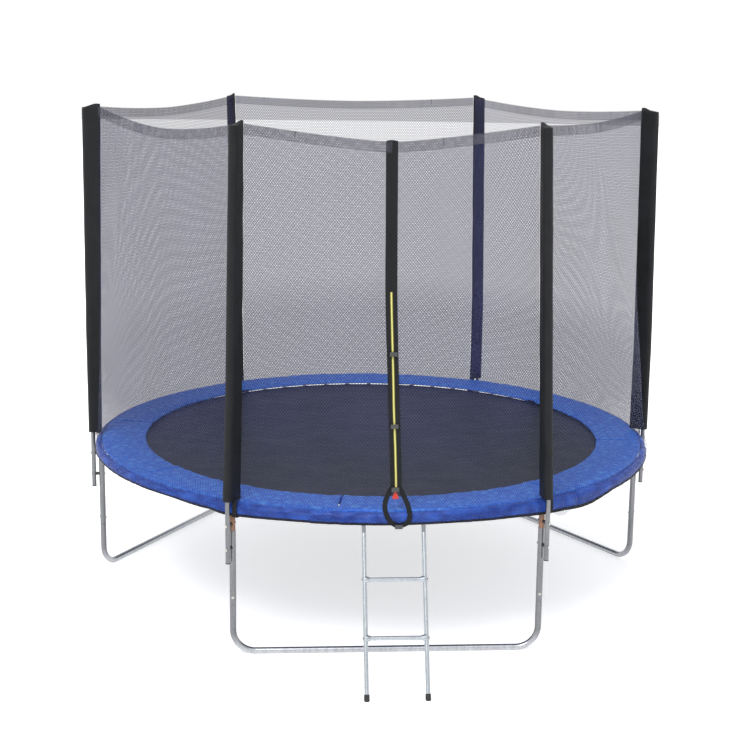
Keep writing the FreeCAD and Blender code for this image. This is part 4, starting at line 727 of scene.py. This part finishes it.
def hem_point(panel, share, up, seed):
    """Point of a top hem, which puckers more towards its upper edge."""
    level = top_edge(panel, share) - HEM_HEIGHT * (1 - up)
    pucker = math.sin(share * 118 + 2 * ripple(share * 9, seed)) * HEM_PUCKER
    return net_point(panel, share, level, out=HEM_OUT + pucker * (0.4 + 0.6 * up))


def net_look(piece, material, **names):
    face_away(piece)
    smooth(piece)
    return dress(piece, material, "grey_net", **names)


def net_sheet(name, panel):
    """Panel from pole to pole, with its hem as a second sheet."""
    width, height = 1.50, 2.56 - NET_BOTTOM

    def rule(u, v):
        bottom = net_bottom(panel[0] - 30 + 60 * u)
        level = bottom + v * (top_edge(panel, u) - 0.002 - bottom)
        loose = math.sin(math.pi * u) * max(0.0, min(1.0, (level - 0.85) / 0.4))
        return net_point(panel, u, level, out=0.010 * loose * ripple(u * 5 + panel[0], level * 1.3))

    def hem_rule(u, v):
        return hem_point(panel, u, v, panel[0])

    piece = lay(cloth_square(name, 90, 90), rule, (width, height))
    net_look(piece, NET_CLOTHS[panel[0]], nodes=[name])
    hem = lay(cloth_square(name.replace("panel", "hem"), 216, 6), hem_rule, (width, HEM_HEIGHT))
    net_look(hem, net_hem_cloth if abs(panel[0]) == 60 else net_back_hem_cloth)


for name, panel in PANELS.items():
    net_sheet(name, panel)
print("whole panels:", len(PANELS))

# %% [markdown]
# ### The panel with the zip
# The front panel is cut in two along the closing strip. Both halves end just behind the strip's own edges, so the
# slit never shows. The share of the width at which the strip stands changes a little with height, so it is read
# at the top and at the pad.

# %% Door panels
DOOR = (0, "front_left", "front_right", 2.518)
FLAP_END, FLAP_NET_END = 14.5, 14.4


def strip_middle(height):
    """Sideways place of the strip's middle."""
    return 0.016 + (height - 0.803) / (2.523 - 0.803) * (-0.01362 - 0.016)


def door_sheet(name, side):
    """Half of the front panel, left (-1) or right (+1) of the strip."""
    width, height = 0.76, 1.83

    def share_at(height):
        centre, radius, (start, end) = net_arc(*DOOR[:3], height)
        turn = -math.acos((strip_middle(height) + 0.002 * side - centre.x) / radius)
        return (turn - start) / (end - start)

    def across(u, height):
        if height < NET_FOOT:
            _, _, (start, end) = net_arc(*DOOR[:3], NET_FOOT)
            split = (math.radians(-90 + side * FLAP_END) - start) / (end - start)
        else:
            split = share_at(height)
        return u * split if side < 0 else split + u * (1 - split)

    def rule(u, v):
        share = across(u, NET_BOTTOM + v * (2.55 - NET_BOTTOM))
        bottom = net_bottom(60 * share - 30)
        level = bottom + v * (top_edge(DOOR, share) - 0.002 - bottom)
        loose = math.sin(math.pi * share) * max(0.0, min(1.0, (level - 0.85) / 0.4))
        return net_point(DOOR, share, level, out=0.008 * loose * ripple(share * 5 + 3, level * 1.3))

    def hem_rule(u, v):
        return hem_point(DOOR, across(u, 2.53), v, 3)

    piece = lay(cloth_square(name, 40, 90), rule, (width, height))
    net_look(piece, net_front_cloth, nodes=[name])
    hem = lay(cloth_square(name.replace("panel", "hem"), 110, 6), hem_rule, (width, HEM_HEIGHT))
    net_look(hem, net_hem_cloth)


door_sheet("net_panel_door_left", -1)
door_sheet("net_panel_door_right", 1)
print("door panels ready")

# %% Loose lower edge of the net in front of the ladder
def skirt_rule(u, v):
    angle = FLAP_NET_END * (2 * u - 1)
    bottom = net_bottom(angle)
    wave = 0.0008 * math.sin(angle * 1.7) * (1 - v)
    return round_frame(1.5482 + wave, angle, bottom + v * (0.796 - bottom))


net_skirt = lay(cloth_square("net_skirt_front", 80, 6), skirt_rule, (0.778, 0.058))
net_look(net_skirt, net_front_cloth, nodes=["net_skirt_front"])
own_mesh(net_skirt)
print("lower net edge ready")

# %% [markdown]
# ## The pole sleeves
# Each pole wears a foam tube in a black cloth sleeve. Seen from above the sleeve has the shape of a drop: round
# over the foam outside, flat where the net is sewn to it. The sleeve's cloth is a closed tube laid round that
# drop, with slow twists, small vertical folds and a sewn edge, and with a raised corner at its top.

# %% Outline of a sleeve
def drop_outline(name, height):
    """Points round the drop as (inward, aside, outward normal) at a height."""
    depth = sleeve_depth(name, height)
    turn = math.acos((SLEEVE_ROUND - SLEEVE_TAIL) / depth)
    points = []
    for k in range(7):
        a = -turn + 2 * turn * k / 6
        points.append((depth + SLEEVE_TAIL * math.cos(a), SLEEVE_TAIL * math.sin(a), a))
    flank = []
    for k in range(1, 9):
        s = k / 9
        far = (depth + SLEEVE_TAIL * math.cos(turn), SLEEVE_TAIL * math.sin(turn))
        near = (SLEEVE_ROUND * math.cos(turn), SLEEVE_ROUND * math.sin(turn))
        flank.append((far[0] + s * (near[0] - far[0]), far[1] + s * (near[1] - far[1]), turn))
    points += flank
    for k in range(17):
        a = turn + (2 * math.pi - 2 * turn) * k / 16
        points.append((SLEEVE_ROUND * math.cos(a), SLEEVE_ROUND * math.sin(a), a))
    points += [(x, -y, -a) for x, y, a in reversed(flank)]
    return points


DROP_POINTS = len(drop_outline("left", 1.0))
print("points round a sleeve:", DROP_POINTS)

# %% Sleeves
def sleeve_piece(name):
    angle = POLES[name][0]
    turn = sleeve_turn(name)
    inward, aside = Vector((-math.sin(turn), math.cos(turn), 0)), Vector((math.cos(turn), math.sin(turn), 0))

    def rule(u, v):
        height = SLEEVE_FOOT + v * (SLEEVE_TOP - 0.002 - SLEEVE_FOOT)
        along, side, facing = drop_outline(name, height)[round(u * DROP_POINTS) % DROP_POINTS]
        folds = 0.0011 * ripple(side * 60 + angle, along * 60, height * 5.5)
        folds += 0.0007 * ripple(side * 160, along * 160 + angle, height * 9)
        flat = math.sin(math.pi * min(1.0, max(0.0, along / 0.07)))
        folds += 0.0014 * flat * ripple(angle, side * 30, height * 16)
        corner = max(0.0, (v - 0.985) / 0.015)
        tail = min(1.0, max(0.0, along / 0.055))
        rise = corner * (0.012 * tail**2 - 0.008 * (1 - tail))
        out = inward * math.cos(facing) + aside * math.sin(facing)
        place = pole_axis(name, height) + inward * along + aside * side
        return place + out * (folds - 0.0012 - 0.0012 * corner) + Vector((0, 0, rise))

    piece = lay(cloth_square(f"sleeve_{name}", DROP_POINTS, 120), rule, (0.24, 1.80))
    close_up(piece)
    face_away(piece, pole_axis(name, 1.5))
    pick(piece)
    bpy.ops.object.mode_set(mode="EDIT")
    bpy.ops.mesh.select_all(action="DESELECT")
    bpy.ops.object.mode_set(mode="OBJECT")
    for corner in piece.data.vertices:
        corner.select = corner.co.z > SLEEVE_TOP - 0.011
    bpy.ops.object.mode_set(mode="EDIT")
    bpy.ops.mesh.extrude_region_move(TRANSFORM_OT_translate={"value": (0, 0, 0.0012)})
    bpy.ops.transform.resize(value=(0.9, 0.9, 1))
    bpy.ops.mesh.edge_face_add()
    bpy.ops.object.mode_set(mode="OBJECT")
    smooth(piece, 50)
    dress(piece, black_sleeve, "black_fabric")
    return piece


def foam_piece(name):
    """Soft grey tube on the pole, with the dents that its packing left."""
    def rule(u, v):
        height = 0.804 + v * (2.566 - 0.804)
        turn = 2 * math.pi * u
        radius = 0.0213 + 0.0006 * ripple(u * 9, height * 14)
        return pole_axis(name, height) + Vector((radius * math.cos(turn), radius * math.sin(turn), 0))

    foam = lay(cloth_square(f"foam_{name}", 24, 60), rule, (0.138, 1.762))
    close_up(foam)
    face_away(foam, pole_axis(name, 1.5))
    apply_modifier(foam, "SOLIDIFY", thickness=0.008, offset=-1)
    smooth(foam, 50)
    dress(foam, moulded["grey_foam"], "grey_foam")
    return foam


foams = [foam_piece(name) for name in POLES]
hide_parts("pole_foams")
sleeves = [sleeve_piece(name) for name in POLES]
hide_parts("pole_sleeves")
print("sleeves:", len(sleeves), "foam tubes:", len(foams))

# %% [markdown]
# ## The pad over the springs
# Eight sewn sections of foam in a blue coated cover lie on the springs. The cover is cut a little too large, so it
# crinkles. One section starts as a slab of the right outline, is remeshed and blown up a little by Blender's
# cloth with no gravity, and is then copied round the frame. Each copy gets its own small dents.

# %% One section of the pad
PAD_IN, PAD_OUT, PAD_LOW = 1.2575, 1.5075, 0.7805
SECTION, SEAM = 45.0, -10.0


def crown(v):
    """Height of the pad's top above its underside across its width, from the mat outwards."""
    return 0.0085 + 0.0055 * math.sin(math.pi * v) ** 0.8


def section_top(u, v):
    radius = PAD_IN + (PAD_OUT - PAD_IN) * v
    return round_frame(radius, (u - 0.5) * (SECTION - 0.10), PAD_LOW + crown(v))


def plain_section():
    piece = lay(cloth_square("pad_section", 96, 22), section_top)
    pick(piece)
    bpy.ops.object.mode_set(mode="EDIT")
    bpy.ops.mesh.select_all(action="SELECT")
    bpy.ops.mesh.extrude_region_move(TRANSFORM_OT_translate={"value": (0, 0, -0.005)})
    bpy.ops.object.mode_set(mode="OBJECT")
    for corner in piece.data.vertices:
        if corner.select:
            corner.co.z = PAD_LOW
    close_up(piece)
    return piece


def swell(piece, voxel, pressure, spare, steps, most):
    """Blow a closed piece up with the cloth solver, and let no point move further than most."""
    pick(piece)
    piece.data.remesh_voxel_size = voxel
    bpy.ops.object.voxel_remesh()
    rest = [corner.co.copy() for corner in piece.data.vertices]
    cloth = piece.modifiers.new("cloth", "CLOTH")
    cloth.settings.quality = 5
    cloth.settings.mass = 0.2
    cloth.settings.tension_stiffness = 25
    cloth.settings.compression_stiffness = 25
    cloth.settings.bending_stiffness = 0.3
    cloth.settings.shrink_min = -spare
    cloth.settings.use_pressure = True
    cloth.settings.uniform_pressure_force = pressure
    cloth.settings.effector_weights.gravity = 0
    for step in range(1, steps + 1):
        bpy.context.scene.frame_set(step)
    bpy.ops.object.modifier_apply(modifier="cloth")
    bpy.context.scene.frame_set(1)
    for corner, before in zip(piece.data.vertices, rest):
        move = corner.co - before
        if move.length > most:
            corner.co = before + move * (most / move.length)
    return piece


section = plain_section()
swell(section, 0.008, 2.0, 0.02, 16, 0.0045)
print("pad section:", len(section.data.polygons), "faces")

# %% Eight sections round the frame
def dented(point, turn):
    """Small dents and long ridges that differ from section to section."""
    radius = math.hypot(point.x, point.y)
    angle = math.atan2(point.x, -point.y)
    long_ridge = ripple(angle * 9 + turn, radius * 5, 1.0)
    cross = ripple(angle * 34 + turn, radius * 9, 4.0)
    small = ripple(point.x * 26 + turn, point.y * 26, 7.0)
    return 0.0020 * long_ridge + 0.0034 * cross + 0.0014 * small


def turned_copy(piece, name, angle):
    """Copy with its own mesh, turned about the upright axis, its place kept in its mesh."""
    made = piece.copy()
    made.data = piece.data.copy()
    made.name = name
    made.data.name = name
    bpy.context.scene.collection.objects.link(made)
    made.data.transform(Matrix.Rotation(math.radians(angle), 4, "Z"))
    return made


for k in range(8):
    angle = SEAM + SECTION / 2 + k * SECTION
    part = turned_copy(section, f"pad_section_{k + 1}", angle)
    for corner in part.data.vertices:
        if corner.co.z > PAD_LOW + 0.004:
            corner.co.z += dented(corner.co, 10.0 * k)
            corner.co.z = min(corner.co.z, 0.7985)
        radius = math.hypot(corner.co.x, corner.co.y)
        limit = min(max(radius, 1.2530), 1.5100)
        corner.co.x *= limit / radius
        corner.co.y *= limit / radius
        corner.co.z = max(corner.co.z, 0.7785)
    smooth(part, 70)
    dress(part, cover_top, "blue_cover")
    part.data.materials.append(black_hem)
    for face in part.data.polygons:
        if math.hypot(face.center.x, face.center.y) < PAD_IN + 0.003:
            face.material_index = 1
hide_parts("frame_pad")
bpy.data.objects.remove(section)

# %% [markdown]
# ## The skirt of the pad
# The cover goes on over the outer edge and hangs down over the top tube as a skirt with a black hem. It is
# crumpled, and its lower edge runs up and down. It is a grid laid over a round shoulder, pushed in and out by
# noise, and thickened by a Solidify modifier. The part in front of the ladder is a piece of its own, because the
# ladder lifts it.

# %% Skirt and flap
def shoulder(v, angle, base):
    """Cloth from the pad's rim (v = 1) over the shoulder down to the hem (v = 0), as (radius, height)."""
    low = drop_level(angle)
    bend = 0.0295
    arc = math.pi / 2 * bend
    straight = 0.757 - low
    length = v * (straight + arc)
    if length < straight:
        return base, low + length
    turn = (length - straight) / bend
    return base - bend + bend * math.cos(turn), 0.757 + bend * math.sin(turn)


def crumple(angle, v):
    """Folds of the skirt: deep and mostly upright near the rim, flatter at the hem."""
    slant = angle * 0.55 + v * 1.6
    fold = ripple(slant, v * 1.8, 2.0) + 0.6 * ripple(slant * 2.7, v * 4.0, 5.0)
    ridge = 1 - abs(2 * ripple(angle * 0.9 - v * 2.2, v * 2.0, 9.0))
    from_seam = (angle - SEAM + SECTION / 2) % SECTION - SECTION / 2
    seam_dent = math.exp(-((from_seam / 0.45) ** 2))
    return 0.0026 * fold + 0.0014 * ridge - 0.0035 * seam_dent


def skirt_piece(name, first, last, base, nodes):
    span = last - first
    columns = max(60, round(span * 3))

    def rule(u, v):
        angle = first + span * u
        radius, height = shoulder(v, angle, base)
        push = crumple(angle, v) * min(1.0, 3 * (1 - v) + 0.15)
        return round_frame(radius + push, angle, height + 0.5 * push * v)

    width = math.radians(span) * base
    piece = lay(cloth_square(name, columns, 14), rule, (width, 0.07))
    face_away(piece)
    apply_modifier(piece, "SOLIDIFY", thickness=0.0009, offset=-1)
    smooth(piece, 70)
    # The skirt takes the darker copy of the cover, its painted shade.
    dress(piece, shaded_cover_drop, "blue_cover", nodes=nodes)

    def hem_rule(u, v):
        angle = first + span * u
        radius, height = shoulder(v * 0.16, angle, base)
        return round_frame(radius + crumple(angle, v * 0.16) + 0.0006, angle, height - 0.001)

    hem = lay(cloth_square(f"{name}_hem", columns, 3), hem_rule, (width, 0.012))
    face_away(hem)
    apply_modifier(hem, "SOLIDIFY", thickness=0.0022, offset=-0.3)
    smooth(hem, 70)
    dress(hem, black_hem, "black_fabric")
    return piece, hem


pad_skirt, pad_skirt_hem = skirt_piece("pad_skirt", FLAP_END, 360 - FLAP_END, 1.5365, ["pad_skirt"])
pad_flap, pad_flap_hem = skirt_piece("pad_flap_front", -FLAP_END, FLAP_END, 1.5410, ["pad_flap_front"])
for part in (pad_flap, pad_flap_hem):
    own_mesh(part)
print("skirt and flap ready")

# %% [markdown]
# ## Straps of the net
# A flat strap beside each pole leads from the net's lower edge round the underside of the top tube and holds the
# net down. It is a narrow strip of webbing, so its middle line is a list of points and the strip is laid along it.

# %% Straps
def along_points(points, share):
    """Point at a share of the length of a bent line."""
    runs = [(b - a).length for a, b in zip(points, points[1:])]
    left = share * sum(runs)
    for (a, b), run in zip(zip(points, points[1:]), runs):
        if left <= run:
            return a.lerp(b, left / run)
        left -= run
    return points[-1]


UNDER_TUBE = (
    (1.5462, 0.782), (1.5455, 0.720), (1.5435, 0.7165), (1.5375, 0.7155),
    (1.502, 0.7155), (1.497, 0.7165), (1.4957, 0.721), (1.4957, 0.757),
)
STRAP_LINE = [(0.030, *p) for p in UNDER_TUBE]


def strap_piece(name):
    angle = math.radians(POLES[name][0])
    depth, _, turn = TAILS_OF_SLEEVES[name]
    turn = math.radians(turn)
    tail = (-depth * math.sin(turn), POLE_CIRCLE - depth * math.cos(turn))
    first = (*tail, 0.8035)
    second = (0.6 * tail[0] + 0.012, 1.512, 0.8015)
    over_rim = (first, second, (0.026, 1.534, 0.7975), (0.029, 1.5432, 0.7915))
    line = [Vector(p) for p in (*over_rim, *STRAP_LINE)]

    def rule(u, v):
        aside, radius, height = along_points(line, v)
        curl = 0.0006 * ripple(u * 4, v * 9, angle)
        flat = Vector((aside + 0.025 * (u - 0.5), -(radius + curl), height))
        return Matrix.Rotation(angle, 3, "Z") @ flat

    strap = lay(cloth_square(f"net_strap_{name}", 4, 60), rule, (0.025, 0.24))
    apply_modifier(strap, "SOLIDIFY", thickness=0.0012, offset=0)
    smooth(strap, 50)
    return dress(strap, black_webbing, "black_fabric")


straps = [strap_piece(name) for name in POLES]
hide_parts("net_straps")
print("straps:", len(straps))

# %% [markdown]
# ## The closing strip and its zip
# Two black edge bands lie side by side over the slit in the net. Below the zip they part, run down as two loose
# tails over the pad's rim and meet again at a clip on the hem, leaving a window shaped like a drop. Each band is a
# long narrow sheet laid along its own middle line.

# %% Plane of the strip
STRIP_FOOT, STRIP_HEAD = Vector((0.016, -1.551, 0.803)), Vector((-0.01362, -1.31235, 2.523))
STRIP_UP = (STRIP_HEAD - STRIP_FOOT).normalized()
STRIP_SIDE = Vector((0.999855, 0.002344, 0.016894))
STRIP_OUT = STRIP_SIDE.cross(STRIP_UP).normalized()


def strip_y(height):
    """Depth of the strip's outer face at a height; it hangs straight below the pad's rim."""
    share = max(0.0, height - STRIP_FOOT.z) / (STRIP_HEAD.z - STRIP_FOOT.z)
    return STRIP_FOOT.y + share * (STRIP_HEAD.y - STRIP_FOOT.y)


STRIP_WAVES = (
    (0.80, 0.003), (0.95, 0.004), (1.05, 0.003), (1.33, -0.002), (1.83, -0.006), (2.20, 0.001), (2.53, 0.007),
)


def strip_line(height):
    """Sideways place of the hanging cloth's middle, which wavers a little about the straight line."""
    for (low, first), (high, last) in zip(STRIP_WAVES, STRIP_WAVES[1:]):
        if height <= high:
            share = max(0.0, (height - low) / (high - low))
            return strip_middle(height) + first + (last - first) * (3 * share**2 - 2 * share**3)
    return strip_middle(height) + STRIP_WAVES[-1][1]


TAILS = {
    "left": (
        (-0.0105, 0.900), (-0.026, 0.868), (-0.034, 0.838), (-0.033, 0.808),
        (-0.022, 0.775), (-0.004, 0.748), (0.022, 0.732),
    ),
    "right": (
        (0.042, 0.900), (0.058, 0.868), (0.072, 0.838), (0.080, 0.808),
        (0.084, 0.778), (0.076, 0.748), (0.046, 0.732),
    ),
}
print("strip leans", round(math.degrees(math.acos(STRIP_UP.z)), 1), "degrees")

# %% Bands
def smooth_line(points, share):
    """Point on a smooth line through all the points."""
    step = share * (len(points) - 1)
    k = min(int(step), len(points) - 2)
    t = step - k
    a, b, c, d = [Vector(points[min(max(k + i, 0), len(points) - 1)]) for i in (-1, 0, 1, 2)]
    curve = (2 * a - 5 * b + 4 * c - d) * t**2 + (3 * b - a - 3 * c + d) * t**3
    return 0.5 * (2 * b + (c - a) * t + curve)


def band_piece(side):
    """Straight upper part at the strip's side, then the tail along its own line."""
    way = -1 if side == "left" else 1
    levels = (2.526, 2.2, 1.8, 1.4, 1.1, 0.98, 0.930)
    straight = [(strip_line(h) + way * (0.0132 if h < 1.5 else 0.0140), h) for h in levels]
    line = [*straight, *TAILS[side]]

    def rule(u, v):
        x, height = smooth_line(line, 1 - v)
        nx, nz = smooth_line(line, min(1.0, 1 - v + 0.004)) - smooth_line(line, max(0.0, 1 - v - 0.004))
        across = Vector((-nz, nx)).normalized()
        half = 0.0142 if height > 1.6 else 0.0136 if height > 0.93 else 0.0118
        wave = 0.0006 * ripple(u * 3, height * 7, way)
        px, pz = x + across.x * half * (2 * u - 1), height + across.y * half * (2 * u - 1)
        if height > 2.50:
            pz -= 6.0 * (px - strip_line(2.526)) ** 2 * (height - 2.50) / 0.026
        return Vector((px, strip_y(pz) + 0.0010 - (0.0006 if way > 0 else 0.0) + wave, pz))

    piece = lay(cloth_square(f"strip_band_{side}", 6, 220), rule, (0.0276, 1.86))
    face_away(piece)
    apply_modifier(piece, "SOLIDIFY", thickness=0.0018, offset=-1)
    apply_modifier(piece, "BEVEL", width=0.0005, segments=2, limit_method="ANGLE")
    smooth(piece, 50)
    dress(piece, strip_cloth, "black_fabric")
    return piece


bands = [band_piece(side) for side in TAILS]
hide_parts("zip_strip")
print("bands:", [tuple(round(x, 3) for x in band.dimensions) for band in bands])

# %% Zip teeth and edges
def on_strip(across, up, out):
    """Point on the strip: across it, at a height, and out from its face."""
    base = Vector((strip_line(up), strip_y(up), up))
    return base + STRIP_SIDE * across + STRIP_OUT * out


def zip_rule(width, lift):
    def rule(u, v):
        edge = 1 - abs(2 * u - 1)
        return on_strip((u - 0.5) * width, 0.917 + v * (1.828 - 0.917), 0.0003 + lift * min(1.0, 3 * edge))
    return rule


zip_edges = lay(cloth_square("zip_edges", 6, 160), zip_rule(0.0128, 0.0005), (0.0128, 0.911))
face_away(zip_edges)
smooth(zip_edges)
dress(zip_edges, zip_edge, "yellow_zip", nodes=["zip_tape"])
zip_teeth = lay(cloth_square("zip_teeth", 6, 400), zip_rule(0.0072, 0.0011), (0.0072, 0.911))
face_away(zip_teeth)
smooth(zip_teeth)
dress(zip_teeth, zip_yellow, "yellow_zip")
print("zip ready")

# %% [markdown]
# ## The jumping mat
# The mat is a disc of dark woven plastic. A band of webbing is sewn under its edge, and sixty short webbing loops
# hold triangular wire rings for the springs. The disc gets its sewn edge by an inset, a loop is one small sheet
# bent round the ring, and all that repeats is copied.

# %% Mat
deselect()
bpy.ops.mesh.primitive_circle_add(vertices=180, radius=1.31, fill_type="NGON", location=(0, 0, 0.765))
mat = bpy.context.object
mat.name = "jumping_mat"
bpy.ops.object.transform_apply(location=True)
bpy.ops.object.mode_set(mode="EDIT")
bpy.ops.mesh.select_all(action="SELECT")
bpy.ops.mesh.inset(thickness=0.048)
bpy.ops.mesh.inset(thickness=0.004, depth=-0.0006)
for width in (0.25, 0.30, 0.30, 0.25):
    bpy.ops.mesh.inset(thickness=width)
bpy.ops.object.mode_set(mode="OBJECT")
apply_modifier(mat, "SOLIDIFY", thickness=0.0018, offset=-1)
smooth(mat, 30)
dress(mat, mat_cloth, "mat_cloth", body="jumping_mat", nodes=["mat"])
print("mat:", len(mat.data.polygons), "faces")

# %% Webbing and loops under the edge
deselect()
bpy.ops.mesh.primitive_circle_add(vertices=180, radius=1.309, fill_type="NGON", location=(0, 0, 0.7628))
webbing = bpy.context.object
webbing.name = "mat_webbing"
bpy.ops.object.transform_apply(location=True)
bpy.ops.object.mode_set(mode="EDIT")
bpy.ops.mesh.select_all(action="SELECT")
bpy.ops.mesh.inset(thickness=0.048)
bpy.ops.mesh.delete(type="ONLY_FACE")
bpy.ops.object.mode_set(mode="OBJECT")
apply_modifier(webbing, "SOLIDIFY", thickness=0.0035, offset=-1)
LOOP_LINE = [Vector(p) for p in (
    (1.275, 0.7585), (1.300, 0.7583), (1.3145, 0.7578), (1.3185, 0.7600),
    (1.3185, 0.7630), (1.3145, 0.7655), (1.300, 0.7662), (1.275, 0.7660),
)]


def loop_rule(u, v):
    radius, height = along_points(LOOP_LINE, v)
    return Vector((0.026 * (u - 0.5), -radius, height))


loop = lay(cloth_square("mat_loop", 1, 14), loop_rule, (0.026, 0.10))
apply_modifier(loop, "SOLIDIFY", thickness=0.0010, offset=0)
loops = [turned_copy(loop, f"mat_loop_{k}", (k + 0.5) * 6) for k in range(60)]
bpy.data.objects.remove(loop)
join((*loops, webbing), webbing)
close_up(webbing, turn_out=False)
smooth(webbing, 40)
dress(webbing, black_webbing, "black_fabric", body="jumping_mat", nodes=["mat_border"])
print("webbing:", len(webbing.data.polygons), "faces")

# %% Triangular rings
def triangle_line(turn):
    """Rounded triangle of wire, its long side at the mat and its tip towards the spring."""
    corners = [Vector((1.3125, -0.0215)), Vector((1.3125, 0.0215)), Vector((1.3475, 0.0))]
    share = turn / (2 * math.pi) * 3
    k, t = int(share) % 3, share % 1
    a, b = corners[k], corners[(k + 1) % 3]
    flat = a.lerp(b, t)
    inner = (corners[0] + corners[1] + corners[2]) / 3
    return flat.lerp(inner, 0.10 * (abs(2 * t - 1) ** 4))


deselect()
bpy.ops.mesh.primitive_torus_add(major_segments=24, minor_segments=6, major_radius=1.0, minor_radius=0.1)
ring = bpy.context.object
for corner in ring.data.vertices:
    turn = math.atan2(corner.co.y, corner.co.x) % (2 * math.pi)
    middle = triangle_line(turn)
    ahead_point = triangle_line((turn + 0.05) % (2 * math.pi))
    tangent = (ahead_point - middle).normalized()
    side = Vector((tangent.y, -tangent.x))
    offset = math.hypot(corner.co.x, corner.co.y) - 1.0
    flat = middle + side * offset * 0.018
    corner.co = Vector((flat.y, -flat.x, 0.7612 + corner.co.z * 0.018))
rings = [turned_copy(ring, f"mat_ring_{k}", (k + 0.5) * 6) for k in range(60)]
bpy.data.objects.remove(ring)
mat_rings = join(rings, rings[0])
mat_rings.name = "mat_ring_wires"
close_up(mat_rings)
smooth(mat_rings, 60)
dress(mat_rings, fastener_zinc, "spring_wire", body="jumping_mat", nodes=["mat_rings"])
print("rings:", len(mat_rings.data.polygons), "faces")

# %% [markdown]
# ## Springs
# Sixty tension springs pull the mat outwards. A coil is a small circle swept by the Screw modifier, which turns
# and lifts it at the same time. The hooks are two short bent wires. A spring joins the fixed frame to the moving
# mat, and springs that lie side by side share one piece.

# %% One spring
WIRE, COIL = 0.0016, 0.0094
deselect()
bpy.ops.mesh.primitive_circle_add(vertices=6, radius=WIRE, location=(COIL, 0, 0), rotation=(math.pi / 2, 0, 0))
coil = bpy.context.object
bpy.ops.object.transform_apply(location=True, rotation=True)
turns, pitch = 26, 0.0042
apply_modifier(coil, "SCREW", screw_offset=pitch, iterations=turns, steps=12, render_steps=12, axis="Z")
coil.data.transform(Matrix.Translation((0, 0, 1.3655)))


def bent_wire(points):
    """Round wire through points."""
    deselect()
    bpy.ops.curve.primitive_nurbs_path_add()
    wire = bpy.context.object
    wire.data.splines.clear()
    spline = wire.data.splines.new("NURBS")
    spline.points.add(len(points) - 1)
    for target, point in zip(spline.points, points):
        target.co = (*point, 1.0)
    spline.order_u = 3
    spline.use_endpoint_u = True
    spline.resolution_u = 3
    wire.data.bevel_depth = WIRE
    wire.data.bevel_resolution = 1
    wire.data.use_fill_caps = True
    bpy.ops.object.convert(target="MESH")
    return bpy.context.object


inner_hook = bent_wire([
    (COIL, 0, 1.3655), (COIL * 0.5, COIL * 0.8, 1.362), (0, 0, 1.357), (0, 0, 1.344),
    (0, -0.001, 1.3372), (0, -0.005, 1.3365), (0, -0.0095, 1.3385),
])
outer_hook = bent_wire([
    (COIL, 0, 1.4747), (COIL * 0.5, COIL * 0.8, 1.478), (0, 0, 1.483), (0, 0, 1.495), (0, 0, 1.5065),
])
join((inner_hook, outer_hook, coil), coil)
close_up(coil)
for corner in coil.data.vertices:
    x, y, z = corner.co
    corner.co = Vector((x, -z, 0.766 + y))
smooth(coil, 60)
print("one spring:", len(coil.data.polygons), "faces")

# %% Sixty springs in groups of three
for k in range(20):
    parts = [turned_copy(coil, f"spring_{k}_{i}", (3 * k + i + 0.5) * 6) for i in range(3)]
    group_piece = join(parts, parts[0])
    group_piece.name = f"springs_{k + 1}"
    dress(group_piece, spring_steel, "spring_wire", body=None)
    middle = (3 * k + 2) * 6 - 3
    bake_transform(group_piece)
bpy.data.objects.remove(coil)
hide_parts("springs")

# %% [markdown]
# ## Finish of the parts that stay
# Tubes, screws, clips and the ladder keep their shape from the frame. Each gets its material in place of the plain
# one that came with it.

# %% Finishes of the steel and plastic nodes
FINISHES = {
    "ring_tube": galvanised,
    "leg_upright": galvanised,
    "leg_base": galvanised_base,
    "leg_sockets": welded_stub,
    "pole_caps": moulded["black_plastic"],
    "pole_bolts": fastener_zinc,
    "pole_spacers": moulded["black_plastic"],
    "pole_": galvanised,
    "frame_nuts": fastener_zinc,
    "leg_screws": fastener_zinc,
    "ladder_rail": ladder_steel,
    "ladder_rungs": ladder_steel,
    "ladder_bolts": fastener_zinc,
    "ladder_hooks": galvanised,
    "ladder_feet": moulded["black_rubber"],
    "zip_slider": dark_zinc,
    "zip_pull": moulded["red_plastic"],
    "buckle": moulded["clip_plastic"],
}
plain = []
for name, node in steel.items():
    if node.hide_render:
        continue
    found = next((finish for start, finish in FINISHES.items() if name.startswith(start)), None)
    if found is None:
        plain.append(name)
        continue
    node.data.materials.clear()
    node.data.materials.append(found)
print("nodes without a finish:", plain)
